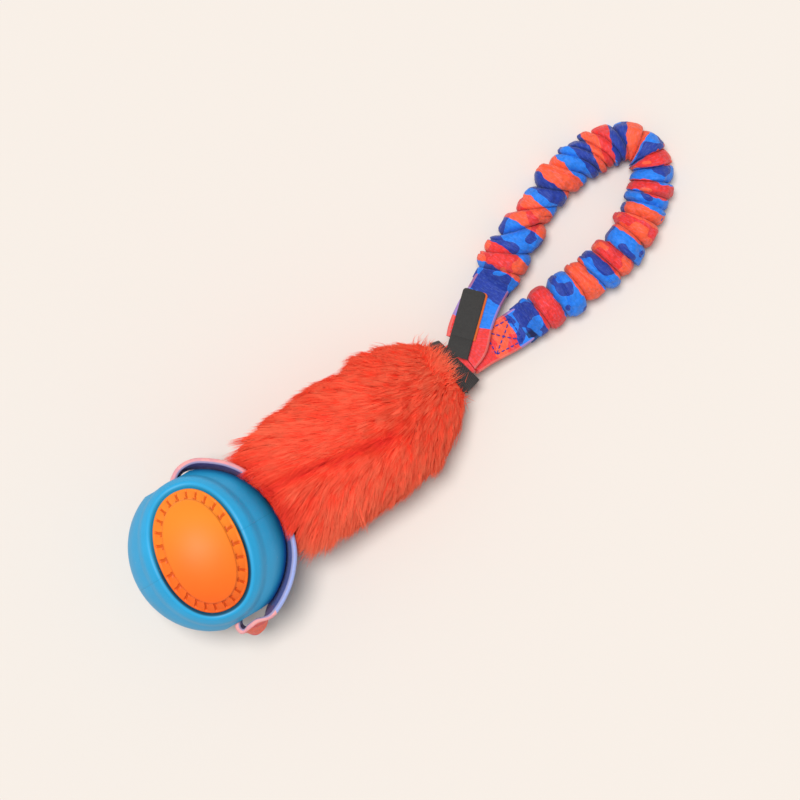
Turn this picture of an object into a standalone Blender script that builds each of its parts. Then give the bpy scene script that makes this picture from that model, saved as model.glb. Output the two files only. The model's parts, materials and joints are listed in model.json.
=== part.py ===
"""A dog's tug toy: a ball on a webbing loop, a stuffed fur sleeve and a bungee hand loop.

The toy lies flat. +X runs from the ball to the hand loop, +Y to the toy's left and +Z up.
The origin is on the flat under the fur sleeve, where the toy rests.
"""

import math

import bmesh
import bpy
from mathutils import Matrix, Vector

MM = 0.001
GAP = 0.3 * MM
CUT_OVERRUN = 2.0 * MM
UP = Vector((0.0, 0.0, 1.0))

# Ball: the shell is a little longer along the strap channel than it is across.
BALL_RADIUS = 31.75 * MM
BALL_HALF_LENGTH = 33.4 * MM
BALL_TURN = math.radians(-6.0)
REST_FLAT_DEPTH = 0.35 * MM
SHELL_WALL = 4.2 * MM
CORE_WALL = 5.0 * MM
WINDOW_HALF_WIDTH = 18.2 * MM
WINDOW_HALF_LENGTH = 27.1 * MM
WINDOW_POWER = 2.15
WINDOW_SHIFT = (-0.4 * MM, 1.3 * MM)
WINDOW_TURN = math.radians(-7.6)
RIM_WIDTH = 6.5 * MM
RIM_HEIGHT = 0.9 * MM
CHANNEL_RADIUS = 10.0 * MM
MOUTH_RADIUS = 11.8 * MM
MOUTH_DEPTH = 3.0 * MM
CHANNEL_OVERRUN = 3.0 * MM
CHANNEL_SIDES = 32
BALL_SIDES = 56
OUTER_STEPS = 9
INNER_STEPS = 6

# Oval pad in each window, with a ring of moulded notches round its field.
PAD_SIDE_GAP = 0.35 * MM
PAD_RING_DEPTH = 0.9 * MM
PAD_RING_WIDTH = 4.6 * MM
PAD_FIELD_DEPTH = 0.1 * MM
PAD_FIELD_STEPS = 4
NOTCH_COUNT = 26
NOTCH_LENGTH = 3.0 * MM
NOTCH_HOOK = 1.7 * MM
NOTCH_WIDTH = 0.75 * MM
NOTCH_DEPTH = 0.8 * MM

# Webbing
STRAP_WIDTH = 16.0 * MM
STRAP_THICKNESS = 2.0 * MM
STRAP_CLEARANCE = 1.2 * MM
NECK_LENGTH = 3.2 * MM
NECK_THICKNESS = 4.4 * MM
TACK_MARGIN = 2.0 * MM
CORE_WEBBING_THICKNESS = 3.6 * MM

# Fur sleeve
FUR_FRONT_X = -38.8 * MM
FUR_LENGTH = 84.5 * MM
FUR_HALF_WIDTH = 29.0 * MM
FUR_HALF_HEIGHT = 23.2 * MM
FUR_SINK = 0.6 * MM
FUR_WALL = 6.0 * MM
FUR_SIDE_SHIFT = -1.5 * MM
FUR_END_HALF_WIDTH = 10.2 * MM
FUR_END_HALF_HEIGHT = 6.3 * MM
FUR_END_LENGTH = 3.1 * MM
FUR_SIDES = 28
FUR_MOUTH_GAP = 2.2 * MM
HOLLOW_TAIL = 5.0 * MM

# Tufts of the fur: high and low places in turn, round each ring and from ring to ring
TUFT_SIDES = 36
TUFT_RINGS = 15
TUFT_HEIGHT = 3.6 * MM
TUFT_UNEVENNESS = 0.25
TUFT_START = 0.06
TUFT_END = 0.915
TUFT_FADE = 12.0 * MM
TUFT_FLAT = 1.0 * MM
TUFT_RISE = 7.0 * MM

# Collar band over the rear end of the fur
COLLAR_WALL = 1.8 * MM
COLLAR_TAIL = 2.6 * MM
COLLAR_TAIL_HALF_HEIGHT = 3.4 * MM
THREAD_RADIUS = 0.4 * MM

# Handle: tails, ruched tube and elastic cord
HANDLE_HEIGHT = 14.0 * MM
HANDLE_STEP = 4.0 * MM
TAIL_WIDTH = 16.0 * MM
TAIL_THICKNESS = 2.0 * MM
RIB_COUNT = 34
TUBE_RADIUS = 9.3 * MM
TUBE_SLIM_RADIUS = 8.4 * MM
RIB_DEPTH = 1.5 * MM
TUBE_SINK = 0.5 * MM
BORE_RADIUS = 4.7 * MM
BUNGEE_RADIUS = 4.3 * MM
BUNGEE_POINTS = 60

# Stitched boxes and the label
STITCH_LENGTH = 13.0 * MM
STITCH_WIDTH = 11.0 * MM
STITCH_THREAD = 0.8 * MM
STITCH_HEIGHT = 0.4 * MM
LABEL_WIDTH = 9.6 * MM
LABEL_THICKNESS = 0.6 * MM
LABEL_EDGE = 1.0 * MM
LABEL_REST_GAP = 0.5 * MM
LABEL_STEPS = 6

# Places that follow from the sizes above
HINGE_X = FUR_FRONT_X - FUR_MOUTH_GAP
STRAP_OUTSIDE = BALL_RADIUS + STRAP_CLEARANCE + STRAP_THICKNESS
STRAP_STANDOFF = STRAP_CLEARANCE + STRAP_THICKNESS / 2.0
BALL_CENTRE = Vector((HINGE_X - NECK_LENGTH - GAP - STRAP_OUTSIDE, 0.0, BALL_RADIUS - REST_FLAT_DEPTH))
FUR_REAR_X = FUR_FRONT_X + FUR_LENGTH
TUFT_START_X = FUR_FRONT_X + FUR_LENGTH * TUFT_START
TUFT_END_X = FUR_FRONT_X + FUR_LENGTH * TUFT_END
COLLAR_FRONT_X = FUR_REAR_X - FUR_END_LENGTH + GAP
COLLAR_REAR_X = FUR_REAR_X + GAP + COLLAR_TAIL
HANDLE_ROOT = Vector((COLLAR_REAR_X + HANDLE_STEP, 0.0, HANDLE_HEIGHT))

# The fur's form: shares of its length, half width and half height, and the height of its underside.
FUR_STATIONS = (
    (0.000, 0.42, 0.58, 16.0 * MM),
    (0.008, 0.55, 0.68, 12.7 * MM),
    (0.025, 0.69, 0.79, 8.8 * MM),
    (0.060, 0.81, 0.88, 5.3 * MM),
    (0.120, 0.92, 0.95, 2.5 * MM),
    (0.200, 0.98, 0.99, 0.5 * MM),
    (0.350, 1.00, 1.00, 0.0),
    (0.520, 1.00, 0.985, 0.0),
    (0.680, 0.95, 0.925, 0.0),
    (0.790, 0.82, 0.80, 0.7 * MM),
    (0.870, 0.66, 0.63, 2.7 * MM),
    (0.925, 0.51, 0.46, 5.0 * MM),
    (0.958, 0.42, 0.35, 6.7 * MM),
)

# The strap's route behind the ball: bearing from +X in degrees, height of its middle over the ball
# as a share of STRAP_STANDOFF. Its stops in the channel are shares of the ball's half length.
STRAP_LEFT = ((4.0, 1.0), (20.0, 1.0), (38.0, 1.0), (52.0, 1.0), (63.0, 1.0), (71.0, 0.545),
              (76.5, -0.455), (79.5, -1.455))
STRAP_RIGHT = ((-4.0, 1.0), (-20.0, 1.0), (-38.0, 1.0), (-54.0, 1.0), (-68.0, 1.045), (-80.0, 1.18),
               (-90.0, 1.545), (-97.5, 1.773), (-102.5, 1.09), (-104.0, 0.0), (-101.5, -1.455))
CHANNEL_STOPS = (0.75, 0.42, 0.0, -0.42, -0.75)

# Routes from the handle's root, in millimetres, seen from above.
LEFT_TAIL_ROUTE = ((0.0, 1.0), (4.5, 2.9), (11.0, 8.4), (18.5, 13.2), (24.0, 15.8), (28.0, 17.5))
RIGHT_TAIL_ROUTE = ((0.0, -1.2), (7.0, -1.6), (14.0, -2.6), (21.0, -3.7), (28.6, -4.2))
LOOP_ROUTE = ((57.0, 29.6), (67.2, 32.4), (78.5, 35.0), (89.0, 36.2), (98.2, 34.8), (105.7, 31.3),
              (110.6, 25.7), (111.2, 18.9), (107.8, 12.7), (101.7, 7.3), (94.3, 2.8), (85.1, -1.2),
              (74.3, -4.0), (62.9, -5.6))
LABEL_ROUTE = ((3.4, 6.8), (19.7, 19.2))
LEFT_STITCH_AT = 0.66
RIGHT_STITCH_AT = 0.62

BLUE_RUBBER = ((0.085, 0.47, 0.78), 0.55)
ORANGE_RUBBER = ((0.98, 0.29, 0.035), 0.6)
CORAL_FUR = ((0.93, 0.075, 0.045), 0.9)
PRINT_RED = ((0.95, 0.10, 0.05), 0.7)
PRINT_BLUE = ((0.01, 0.20, 0.80), 0.7)
NAVY_THREAD = ((0.01, 0.03, 0.20), 0.7)
BLACK_WEBBING = ((0.03, 0.03, 0.03), 0.8)
WHITE_FIBRE = ((0.85, 0.85, 0.82), 0.95)
WHITE_ELASTIC = ((0.75, 0.75, 0.75), 0.8)


def clear_scene():
    for old in list(bpy.data.objects):
        bpy.data.objects.remove(old, do_unlink=True)


def make_material(name, look):
    colour, roughness = look
    material = bpy.data.materials.new(name)
    material.use_nodes = True
    shader = material.node_tree.nodes["Principled BSDF"]
    shader.inputs["Base Color"].default_value = (*colour, 1.0)
    shader.inputs["Roughness"].default_value = roughness
    shader.inputs["Metallic"].default_value = 0.0
    return material


def add_object(name, bm, look, smooth_angle=40.0):
    bmesh.ops.recalc_face_normals(bm, faces=bm.faces)
    mesh = bpy.data.meshes.new(name)
    bm.to_mesh(mesh)
    bm.free()
    mesh.shade_smooth()
    mesh.set_sharp_from_angle(angle=math.radians(smooth_angle))
    mesh.materials.append(make_material(name, look))
    obj = bpy.data.objects.new(name, mesh)
    bpy.context.scene.collection.objects.link(obj)
    return obj


def add_cutter(name, bm):
    cutter = add_object(name, bm, BLACK_WEBBING)
    cutter.hide_render = True
    cutter.display_type = "WIRE"
    return cutter


def cut(target, cutter):
    boolean = target.modifiers.new("cut " + cutter.name, "BOOLEAN")
    boolean.operation = "DIFFERENCE"
    boolean.solver = "EXACT"
    boolean.object = cutter


def add_empty(name, place, turn=0.0, parent=None):
    empty = bpy.data.objects.new(name, None)
    bpy.context.scene.collection.objects.link(empty)
    empty.matrix_world = Matrix.Translation(place) @ Matrix.Rotation(turn, 4, "Z")
    if parent:
        hold(parent, empty)
    return empty


def hold(parent, *children):
    """Parent the children and leave them where they are."""
    bpy.context.view_layer.update()
    for child in children:
        child.parent = parent
        child.matrix_parent_inverse = parent.matrix_world.inverted()


def loft(rings):
    """A closed solid through rings of equal length, with a flat face at each end."""
    bm = bmesh.new()
    layers = [[bm.verts.new(point) for point in ring] for ring in rings]
    count = len(layers[0])
    for low, high in zip(layers, layers[1:]):
        for i in range(count):
            j = (i + 1) % count
            bm.faces.new((low[i], low[j], high[j], high[i]))
    bm.faces.new(layers[0])
    bm.faces.new(layers[-1])
    return bm


def sweep_profile(profiles):
    """A closed ring of closed profiles, such as a tyre."""
    bm = bmesh.new()
    layers = [[bm.verts.new(point) for point in profile] for profile in profiles]
    count = len(layers[0])
    for k, low in enumerate(layers):
        high = layers[(k + 1) % len(layers)]
        for i in range(count):
            j = (i + 1) % count
            bm.faces.new((low[i], low[j], high[j], high[i]))
    return bm


def box(low, high):
    size = [b - a for a, b in zip(low, high)]
    middle = Vector([(a + b) / 2.0 for a, b in zip(low, high)])
    bm = bmesh.new()
    bmesh.ops.create_cube(bm, size=1.0, matrix=Matrix.Translation(middle) @ Matrix.Diagonal((*size, 1.0)))
    return bm


def smooth_route(points, steps):
    """Points on a Catmull-Rom curve through the given points, with steps to each stretch."""
    ends = [2.0 * points[0] - points[1]] + list(points) + [2.0 * points[-1] - points[-2]]
    route = []
    for p0, p1, p2, p3 in zip(ends, ends[1:], ends[2:], ends[3:]):
        for k in range(steps):
            t = k / steps
            route.append(0.5 * (2.0 * p1 + (p2 - p0) * t + (2.0 * p0 - 5.0 * p1 + 4.0 * p2 - p3) * t ** 2
                                + (3.0 * p1 - p0 - 3.0 * p2 + p3) * t ** 3))
    route.append(Vector(points[-1]))
    return route


def even_points(route, count):
    """The same route, read at evenly spaced points."""
    lengths = [0.0]
    for a, b in zip(route, route[1:]):
        lengths.append(lengths[-1] + (b - a).length)
    points = []
    k = 0
    for i in range(count):
        wanted = lengths[-1] * i / (count - 1)
        while k < len(route) - 2 and lengths[k + 1] < wanted:
            k += 1
        share = (wanted - lengths[k]) / (lengths[k + 1] - lengths[k])
        points.append(route[k].lerp(route[k + 1], share))
    return points


def tangents(route):
    result = []
    for k in range(len(route)):
        before = route[max(k - 1, 0)]
        after = route[min(k + 1, len(route) - 1)]
        result.append((after - before).normalized())
    return result


def strip(route, sides, width, thickness):
    """A flat strip along a route: sides are the directions of its width."""
    rings = []
    for point, along, side in zip(route, tangents(route), sides):
        half = side.normalized() * width / 2.0
        face = along.cross(side).normalized() * thickness / 2.0
        rings.append([point - half - face, point + half - face, point + half + face, point - half + face])
    return loft(rings)


def flat_sides(route):
    """Level directions square to a route."""
    return [UP.cross(Vector((t.x, t.y, 0.0))) for t in tangents(route)]


def ball_point(bearing, polar, depth, flip=1.0):
    """A point at a depth under the ball's nominal surface, in the ball's own frame."""
    across = BALL_RADIUS - depth
    return Vector((across * math.sin(polar) * math.cos(bearing),
                   (BALL_HALF_LENGTH - depth) * math.sin(polar) * math.sin(bearing),
                   flip * across * math.cos(polar)))


def window_edge(turn_share, inset=0.0):
    """Bearing and polar angle of a point on the window's oval, on the nominal surface."""
    angle = 2.0 * math.pi * turn_share
    along = math.pi / 2.0 + WINDOW_TURN
    c, s = math.cos(angle), math.sin(angle)
    u = (WINDOW_HALF_LENGTH - inset) * math.copysign(abs(c) ** (2.0 / WINDOW_POWER), c)
    v = (WINDOW_HALF_WIDTH - inset) * math.copysign(abs(s) ** (2.0 / WINDOW_POWER), s)
    x = WINDOW_SHIFT[0] + u * math.cos(along) - v * math.sin(along)
    y = WINDOW_SHIFT[1] + u * math.sin(along) + v * math.cos(along)
    across, lengthwise = x / BALL_RADIUS, y / BALL_HALF_LENGTH
    return math.atan2(lengthwise, across), math.asin(min(math.hypot(across, lengthwise), 1.0))


def rim_lift(distance):
    """Height of the shell's swollen rim at a distance from the window's edge."""
    if distance >= 1.5 * RIM_WIDTH:
        return 0.0
    if distance >= RIM_WIDTH:
        return -0.35 * RIM_HEIGHT * math.sin(math.pi * (distance / RIM_WIDTH - 1.0) / 0.5)
    return RIM_HEIGHT * (0.35 + 0.65 * math.sin(math.pi * (0.18 + 0.82 * distance / RIM_WIDTH)))


def shell_profile(share):
    """The shell's wall at one bearing, from the upper window round to the lower one and back."""
    bearing, edge = window_edge(share)
    sweep = math.pi / 2.0 - edge
    outer = []
    for k in range(OUTER_STEPS + 1):
        polar = edge + sweep * (k / OUTER_STEPS) ** 1.3
        outer.append((polar, -rim_lift((polar - edge) * BALL_RADIUS)))
    inner = [edge + sweep * k / INNER_STEPS for k in range(INNER_STEPS + 1)]
    upper = [ball_point(bearing, polar, depth) for polar, depth in outer]
    lower = [ball_point(bearing, polar, depth, -1.0) for polar, depth in outer[-2::-1]]
    lower_inside = [ball_point(bearing, polar, SHELL_WALL, -1.0) for polar in inner]
    upper_inside = [ball_point(bearing, polar, SHELL_WALL) for polar in inner[-2::-1]]
    return upper + lower + lower_inside + upper_inside


def pad_rows(share):
    """Polar angles and depths down the core's outside at one bearing, from the flat at the pole."""
    bearing, ring_edge = window_edge(share, PAD_SIDE_GAP)
    field_edge = window_edge(share, PAD_SIDE_GAP + PAD_RING_WIDTH)[1]
    flat = math.acos((BALL_RADIUS - REST_FLAT_DEPTH) / (BALL_RADIUS - PAD_FIELD_DEPTH))
    rows = []
    for k in range(PAD_FIELD_STEPS + 1):
        rows.append((flat + (field_edge - flat) * k / PAD_FIELD_STEPS, PAD_FIELD_DEPTH))
    rows.append((field_edge + (ring_edge - field_edge) * 0.12, PAD_RING_DEPTH))
    rows.append((field_edge + (ring_edge - field_edge) * 0.6, PAD_RING_DEPTH))
    rows.append((ring_edge - 0.02, PAD_RING_DEPTH))
    rows.append((ring_edge, PAD_RING_DEPTH + 0.5 * MM))
    rows.append((ring_edge, SHELL_WALL + GAP))
    sweep = math.pi / 2.0 - ring_edge
    for k in range(1, INNER_STEPS + 1):
        rows.append((ring_edge + sweep * k / INNER_STEPS, SHELL_WALL + GAP))
    return bearing, rows


def core_outside():
    """The core's outer surface: a ball with a raised oval pad above and below."""
    columns = []
    for i in range(BALL_SIDES):
        bearing, rows = pad_rows(i / BALL_SIDES)
        upper = [ball_point(bearing, polar, depth) for polar, depth in rows]
        lower = [ball_point(bearing, polar, depth, -1.0) for polar, depth in rows[-2::-1]]
        columns.append(upper + lower)
    return loft([list(ring) for ring in zip(*columns)])


def ellipsoid(depth):
    bm = bmesh.new()
    bmesh.ops.create_uvsphere(bm, u_segments=32, v_segments=18, radius=1.0)
    scale = (BALL_RADIUS - depth, BALL_HALF_LENGTH - depth, BALL_RADIUS - depth, 1.0)
    bmesh.ops.transform(bm, matrix=Matrix.Diagonal(scale), verts=bm.verts)
    return bm


def channel_cutter():
    """A round channel along the ball's own Y, flared at both mouths."""
    reach = BALL_HALF_LENGTH + CHANNEL_OVERRUN
    neck = BALL_HALF_LENGTH - MOUTH_DEPTH
    stations = ((-reach, MOUTH_RADIUS), (-BALL_HALF_LENGTH + 1.0 * MM, MOUTH_RADIUS),
                (-neck, CHANNEL_RADIUS), (neck, CHANNEL_RADIUS),
                (BALL_HALF_LENGTH - 1.0 * MM, MOUTH_RADIUS), (reach, MOUTH_RADIUS))
    rings = []
    for y, radius in stations:
        ring = []
        for i in range(CHANNEL_SIDES):
            angle = 2.0 * math.pi * i / CHANNEL_SIDES
            ring.append(Vector((radius * math.cos(angle), y, radius * math.sin(angle))))
        rings.append(ring)
    return loft(rings)


def notch_outline():
    """One hooked notch, as a flat outline: u runs out to the pad's edge, v round the pad."""
    half = NOTCH_WIDTH / 2.0
    far = NOTCH_LENGTH / 2.0
    return ((-far, -half), (far, -half), (far, half), (-far + NOTCH_WIDTH, half),
            (-far + NOTCH_WIDTH, NOTCH_HOOK), (-far, NOTCH_HOOK))


def notch_cutter(flip):
    """All the notches of one pad, each a hooked prism square to the ball."""
    bm = bmesh.new()
    for i in range(NOTCH_COUNT):
        share = (i + 0.5) / NOTCH_COUNT
        inset = PAD_SIDE_GAP + PAD_RING_WIDTH * 0.5
        bearing, polar = window_edge(share, inset)
        middle = ball_point(bearing, polar, PAD_RING_DEPTH, flip)
        ahead = ball_point(*window_edge(share + 0.01, inset), PAD_RING_DEPTH, flip)
        normal = middle.normalized()
        around = (ahead - middle).normalized()
        outward = around.cross(normal).normalized() * flip
        low, high = [], []
        for u, v in notch_outline():
            point = middle + outward * u + around * v
            low.append(bm.verts.new(point - normal * NOTCH_DEPTH))
            high.append(bm.verts.new(point + normal * CUT_OVERRUN))
        bm.faces.new(low)
        bm.faces.new(high)
        for a in range(len(low)):
            b = (a + 1) % len(low)
            bm.faces.new((low[a], low[b], high[b], high[a]))
    return bm


def make_ball():
    profiles = [shell_profile(i / BALL_SIDES) for i in range(BALL_SIDES)]
    shell = add_object("ball_shell", sweep_profile(profiles), BLUE_RUBBER)
    core = add_object("ball_core", core_outside(), ORANGE_RUBBER, 30.0)
    channel = add_cutter("channel tool", channel_cutter())
    cut(core, add_cutter("hollow tool", ellipsoid(SHELL_WALL + GAP + CORE_WALL)))
    cut(core, channel)
    cut(shell, channel)
    tools = [channel]
    for side, flip in (("upper", 1.0), ("lower", -1.0)):
        notches = add_cutter(side + " notch tool", notch_cutter(flip))
        cut(core, notches)
        tools.append(notches)
    tools.append(bpy.data.objects["hollow tool"])
    pivot = add_empty("ball pivot", BALL_CENTRE, BALL_TURN)
    for piece in [shell, core] + tools:
        piece.parent = pivot
    return pivot


def ball_outline(bearing):
    """Distance from the ball's middle to its outline in the level plane, at a bearing from +X."""
    turned = bearing - BALL_TURN
    return 1.0 / math.hypot(math.cos(turned) / BALL_RADIUS, math.sin(turned) / BALL_HALF_LENGTH)


def strap_point(degrees, height):
    bearing = math.radians(degrees)
    reach = ball_outline(bearing) + height * STRAP_STANDOFF
    return BALL_CENTRE + Vector((math.cos(bearing), math.sin(bearing), 0.0)) * reach


def make_ball_strap():
    channel = Vector((-math.sin(BALL_TURN), math.cos(BALL_TURN), 0.0))
    left = [strap_point(*stop) for stop in STRAP_LEFT]
    inside = [BALL_CENTRE + channel * stop * BALL_HALF_LENGTH for stop in CHANNEL_STOPS]
    right = [strap_point(*stop) for stop in reversed(STRAP_RIGHT)]
    route = smooth_route(left + inside + right, 4)
    bm = strip(route, [UP] * len(route), STRAP_WIDTH, STRAP_THICKNESS)
    return add_object("ball_strap", bm, PRINT_RED)


def make_neck():
    """The doubled webbing between the strap and the body, round at its hinge end."""
    half = NECK_THICKNESS / 2.0
    front_x = HINGE_X - NECK_LENGTH
    outline = [(front_x, -half), (front_x, half)]
    for k in range(9):
        angle = math.pi / 2.0 - math.pi * k / 8
        outline.append((HINGE_X + half * math.cos(angle), half * math.sin(angle)))
    rings = []
    for z in (-STRAP_WIDTH / 2.0, STRAP_WIDTH / 2.0):
        rings.append([Vector((x, y, BALL_CENTRE.z + z)) for x, y in outline])
    neck = add_object("neck_webbing", loft(rings), PRINT_BLUE)
    return neck


def make_neck_stitching():
    """A bar tack of thread down one face of the neck."""
    x = HINGE_X - NECK_LENGTH * 0.5
    y = NECK_THICKNESS / 2.0 + GAP
    rows = 7
    pitch = (STRAP_WIDTH - 2.0 * TACK_MARGIN) / rows
    outline = [(x - 0.5 * MM, -rows * pitch / 2.0)]
    for k in range(rows):
        low = -rows * pitch / 2.0 + k * pitch
        outline.append((x + 0.5 * MM, low + 0.15 * pitch))
        outline.append((x + 0.5 * MM, low + 0.85 * pitch))
        outline.append((x + 0.1 * MM, low + pitch))
    outline.append((x - 0.5 * MM, rows * pitch / 2.0))
    rings = []
    for depth in (0.0, STITCH_HEIGHT):
        rings.append([Vector((u, y + depth, BALL_CENTRE.z + v)) for u, v in outline])
    return add_object("neck_stitching", loft(rings), NAVY_THREAD)


def oval_ring(x, centre, half_width, half_height, sides=FUR_SIDES, power=2.25):
    """A rounded oval across the toy at x; centre is its (y, z)."""
    ring = []
    for i in range(sides):
        angle = 2.0 * math.pi * i / sides
        c, s = math.cos(angle), math.sin(angle)
        y = math.copysign(abs(c) ** (2.0 / power), c) * half_width
        z = math.copysign(abs(s) ** (2.0 / power), s) * half_height
        ring.append(Vector((x, centre[0] + y, centre[1] + z)))
    return ring


def fur_sections():
    """Stations of the fur body: x, (y, z) of the middle, half width and half height."""
    sections = []
    for share, width, tall, underside in FUR_STATIONS:
        x = FUR_FRONT_X + FUR_LENGTH * share
        shift = FUR_SIDE_SHIFT * math.sin(math.pi * share)
        half_height = FUR_HALF_HEIGHT * tall
        middle = underside - FUR_SINK + half_height
        sections.append((x, (shift, middle), FUR_HALF_WIDTH * width, half_height))
    shoulder = FUR_REAR_X - FUR_END_LENGTH
    for x in (shoulder, FUR_REAR_X):
        sections.append((x, (0.0, HANDLE_HEIGHT), FUR_END_HALF_WIDTH, FUR_END_HALF_HEIGHT))
    return sections


def fur_loft(inset, front_inset, floor):
    """The fur body's form, drawn in by an inset that thins where the body is slim."""
    rings = []
    for x, centre, half_width, half_height in fur_sections():
        wall = min(inset, 0.3 * half_height * inset / FUR_WALL)
        x = max(x, FUR_FRONT_X + front_inset)
        ring = oval_ring(x, centre, half_width - wall, half_height - wall)
        for point in ring:
            point.z = max(point.z, floor)
        rings.append(ring)
    spread = [rings[0]]
    for ring in rings[1:]:
        if ring[0].x > spread[-1][0].x + 0.01 * MM:
            spread.append(ring)
        else:
            spread[-1] = ring
    return spread


def section_at(sections, x):
    """The fur's section at x, between two neighbouring stations."""
    after = next(n for n in range(1, len(sections)) if sections[n][0] >= x)
    low, high = sections[after - 1], sections[after]
    share = (x - low[0]) / (high[0] - low[0])
    centre = tuple(a + (b - a) * share for a, b in zip(low[1], high[1]))
    half_width, half_height = (a + (b - a) * share for a, b in zip(low[2:], high[2:]))
    return x, centre, half_width, half_height


def tuft_depth(i, k, x, z):
    """How far the coat lies under its envelope at point i of ring k."""
    if (i + k) % 2:
        return 0.0
    fade = min((x - TUFT_START_X) / TUFT_FADE, (TUFT_END_X - x) / TUFT_FADE, (z - TUFT_FLAT) / TUFT_RISE, 1.0)
    wave = 0.5 + 0.5 * math.sin(2.3 * i + 1.7 * k)
    return TUFT_HEIGHT * max(fade, 0.0) * (1.0 - TUFT_UNEVENNESS * wave)


def fur_coat():
    """The fur's outer form: its envelope, with low staggered tufts."""
    sections = fur_sections()
    front = [section for section in sections if section[0] < TUFT_START_X - 0.1 * MM]
    rear = [section for section in sections if section[0] > TUFT_END_X + 0.1 * MM]
    step = (TUFT_END_X - TUFT_START_X) / TUFT_RINGS
    tufted = [section_at(sections, TUFT_START_X + step * k) for k in range(TUFT_RINGS + 1)]
    rings = []
    for k, (x, centre, half_width, half_height) in enumerate(front + tufted + rear):
        middle = Vector((x, *centre))
        ring = []
        for i, point in enumerate(oval_ring(x, centre, half_width, half_height, TUFT_SIDES)):
            reach = point - middle
            point = middle + reach * (1.0 - tuft_depth(i, k, x, point.z) / reach.length)
            point.z = max(point.z, 0.0)
            ring.append(point)
        rings.append(ring)
    return rings


def webbing_frames(start_x, end_x, count=18):
    """The core webbing's route, and its width directions, from on edge to flat."""
    route, sides = [], []
    twist_from = FUR_FRONT_X + FUR_WALL
    twist_to = FUR_REAR_X - 2.0 * FUR_WALL
    for k in range(count + 1):
        x = start_x + (end_x - start_x) * k / count
        share = min(max((x - twist_from) / (twist_to - twist_from), 0.0), 1.0)
        ease = share * share * (3.0 - 2.0 * share)
        z = BALL_CENTRE.z + (HANDLE_HEIGHT - BALL_CENTRE.z) * ease
        angle = math.pi / 2.0 * (1.0 - ease)
        route.append(Vector((x, 0.0, z)))
        sides.append(Vector((0.0, math.cos(angle), math.sin(angle))))
    return route, sides


def make_fur_body():
    sleeve = add_object("fur_sleeve", loft(fur_coat()), CORAL_FUR)
    inner =fur_loft(FUR_WALL, FUR_WALL * 0.5, FUR_WALL * 0.7)
    tail = [point + Vector((HOLLOW_TAIL, 0.0, 0.0)) for point in inner[-1]]
    cut(sleeve, add_cutter("sleeve hollow tool", loft(inner + [tail])))
    slot_y = NECK_THICKNESS / 2.0 + 0.4 * MM
    slot_z = STRAP_WIDTH / 2.0 + 0.4 * MM
    slot = box((FUR_FRONT_X - CUT_OVERRUN, -slot_y, BALL_CENTRE.z - slot_z),
               (FUR_FRONT_X + FUR_WALL, slot_y, BALL_CENTRE.z + slot_z))
    cut(sleeve, add_cutter("fur mouth tool", slot))
    packed = fur_loft(FUR_WALL + GAP, FUR_WALL * 0.5 + GAP, FUR_WALL * 0.7 + GAP)
    filling = add_object("sleeve_filling", loft(packed), WHITE_FIBRE)
    start = HINGE_X + NECK_THICKNESS / 2.0 + GAP
    end = HANDLE_ROOT.x - GAP
    route, sides = webbing_frames(start, end)
    bm = strip(route, sides, STRAP_WIDTH, CORE_WEBBING_THICKNESS)
    webbing = add_object("core_webbing", bm, PRINT_BLUE)
    bm = strip(route, sides, STRAP_WIDTH + 4.0 * GAP, CORE_WEBBING_THICKNESS + 4.0 * GAP)
    lane = add_cutter("webbing lane tool", bm)
    cut(filling, lane)
    cut(sleeve, lane)
    return sleeve, filling, webbing


def make_collar():
    half_width = FUR_END_HALF_WIDTH + GAP
    half_height = FUR_END_HALF_HEIGHT + GAP
    middle = (0.0, HANDLE_HEIGHT)
    outside = (half_width + COLLAR_WALL, half_height + COLLAR_WALL)
    rings = [oval_ring(COLLAR_FRONT_X, middle, *outside),
             oval_ring(FUR_REAR_X - GAP, middle, *outside),
             oval_ring(FUR_REAR_X + GAP + 0.6 * MM, middle, outside[0] - 0.5 * MM, outside[1] - 1.6 * MM),
             oval_ring(COLLAR_REAR_X, middle, outside[0] - 1.4 * MM, COLLAR_TAIL_HALF_HEIGHT)]
    collar = add_object("collar_band", loft(rings), BLACK_WEBBING)
    plug = loft([oval_ring(COLLAR_FRONT_X - CUT_OVERRUN, middle, half_width, half_height),
                 oval_ring(FUR_REAR_X + GAP, middle, half_width, half_height)])
    cut(collar, add_cutter("collar hollow tool", plug))
    slot_y = STRAP_WIDTH / 2.0 + 2.0 * GAP
    slot_z = CORE_WEBBING_THICKNESS / 2.0 + GAP
    slot = box((FUR_REAR_X - CUT_OVERRUN, -slot_y, HANDLE_HEIGHT - slot_z),
               (COLLAR_REAR_X + CUT_OVERRUN, slot_y, HANDLE_HEIGHT + slot_z))
    cut(collar, add_cutter("collar slot tool", slot))
    return collar


def make_collar_stitching():
    """One thread laid round the collar band."""
    x = (COLLAR_FRONT_X + FUR_REAR_X) / 2.0
    reach = COLLAR_WALL + 2.0 * GAP + THREAD_RADIUS
    loop = oval_ring(x, (0.0, HANDLE_HEIGHT), FUR_END_HALF_WIDTH + reach, FUR_END_HALF_HEIGHT + reach)
    profiles = []
    for k, point in enumerate(loop):
        outward = Vector((0.0, point.y, point.z - HANDLE_HEIGHT)).normalized()
        profile = []
        for i in range(6):
            angle = 2.0 * math.pi * i / 6
            offset = Vector((math.cos(angle), 0.0, 0.0)) + outward * math.sin(angle)
            profile.append(point + offset * THREAD_RADIUS)
        profiles.append(profile)
    return add_object("collar_stitching", sweep_profile(profiles), NAVY_THREAD)


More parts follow.
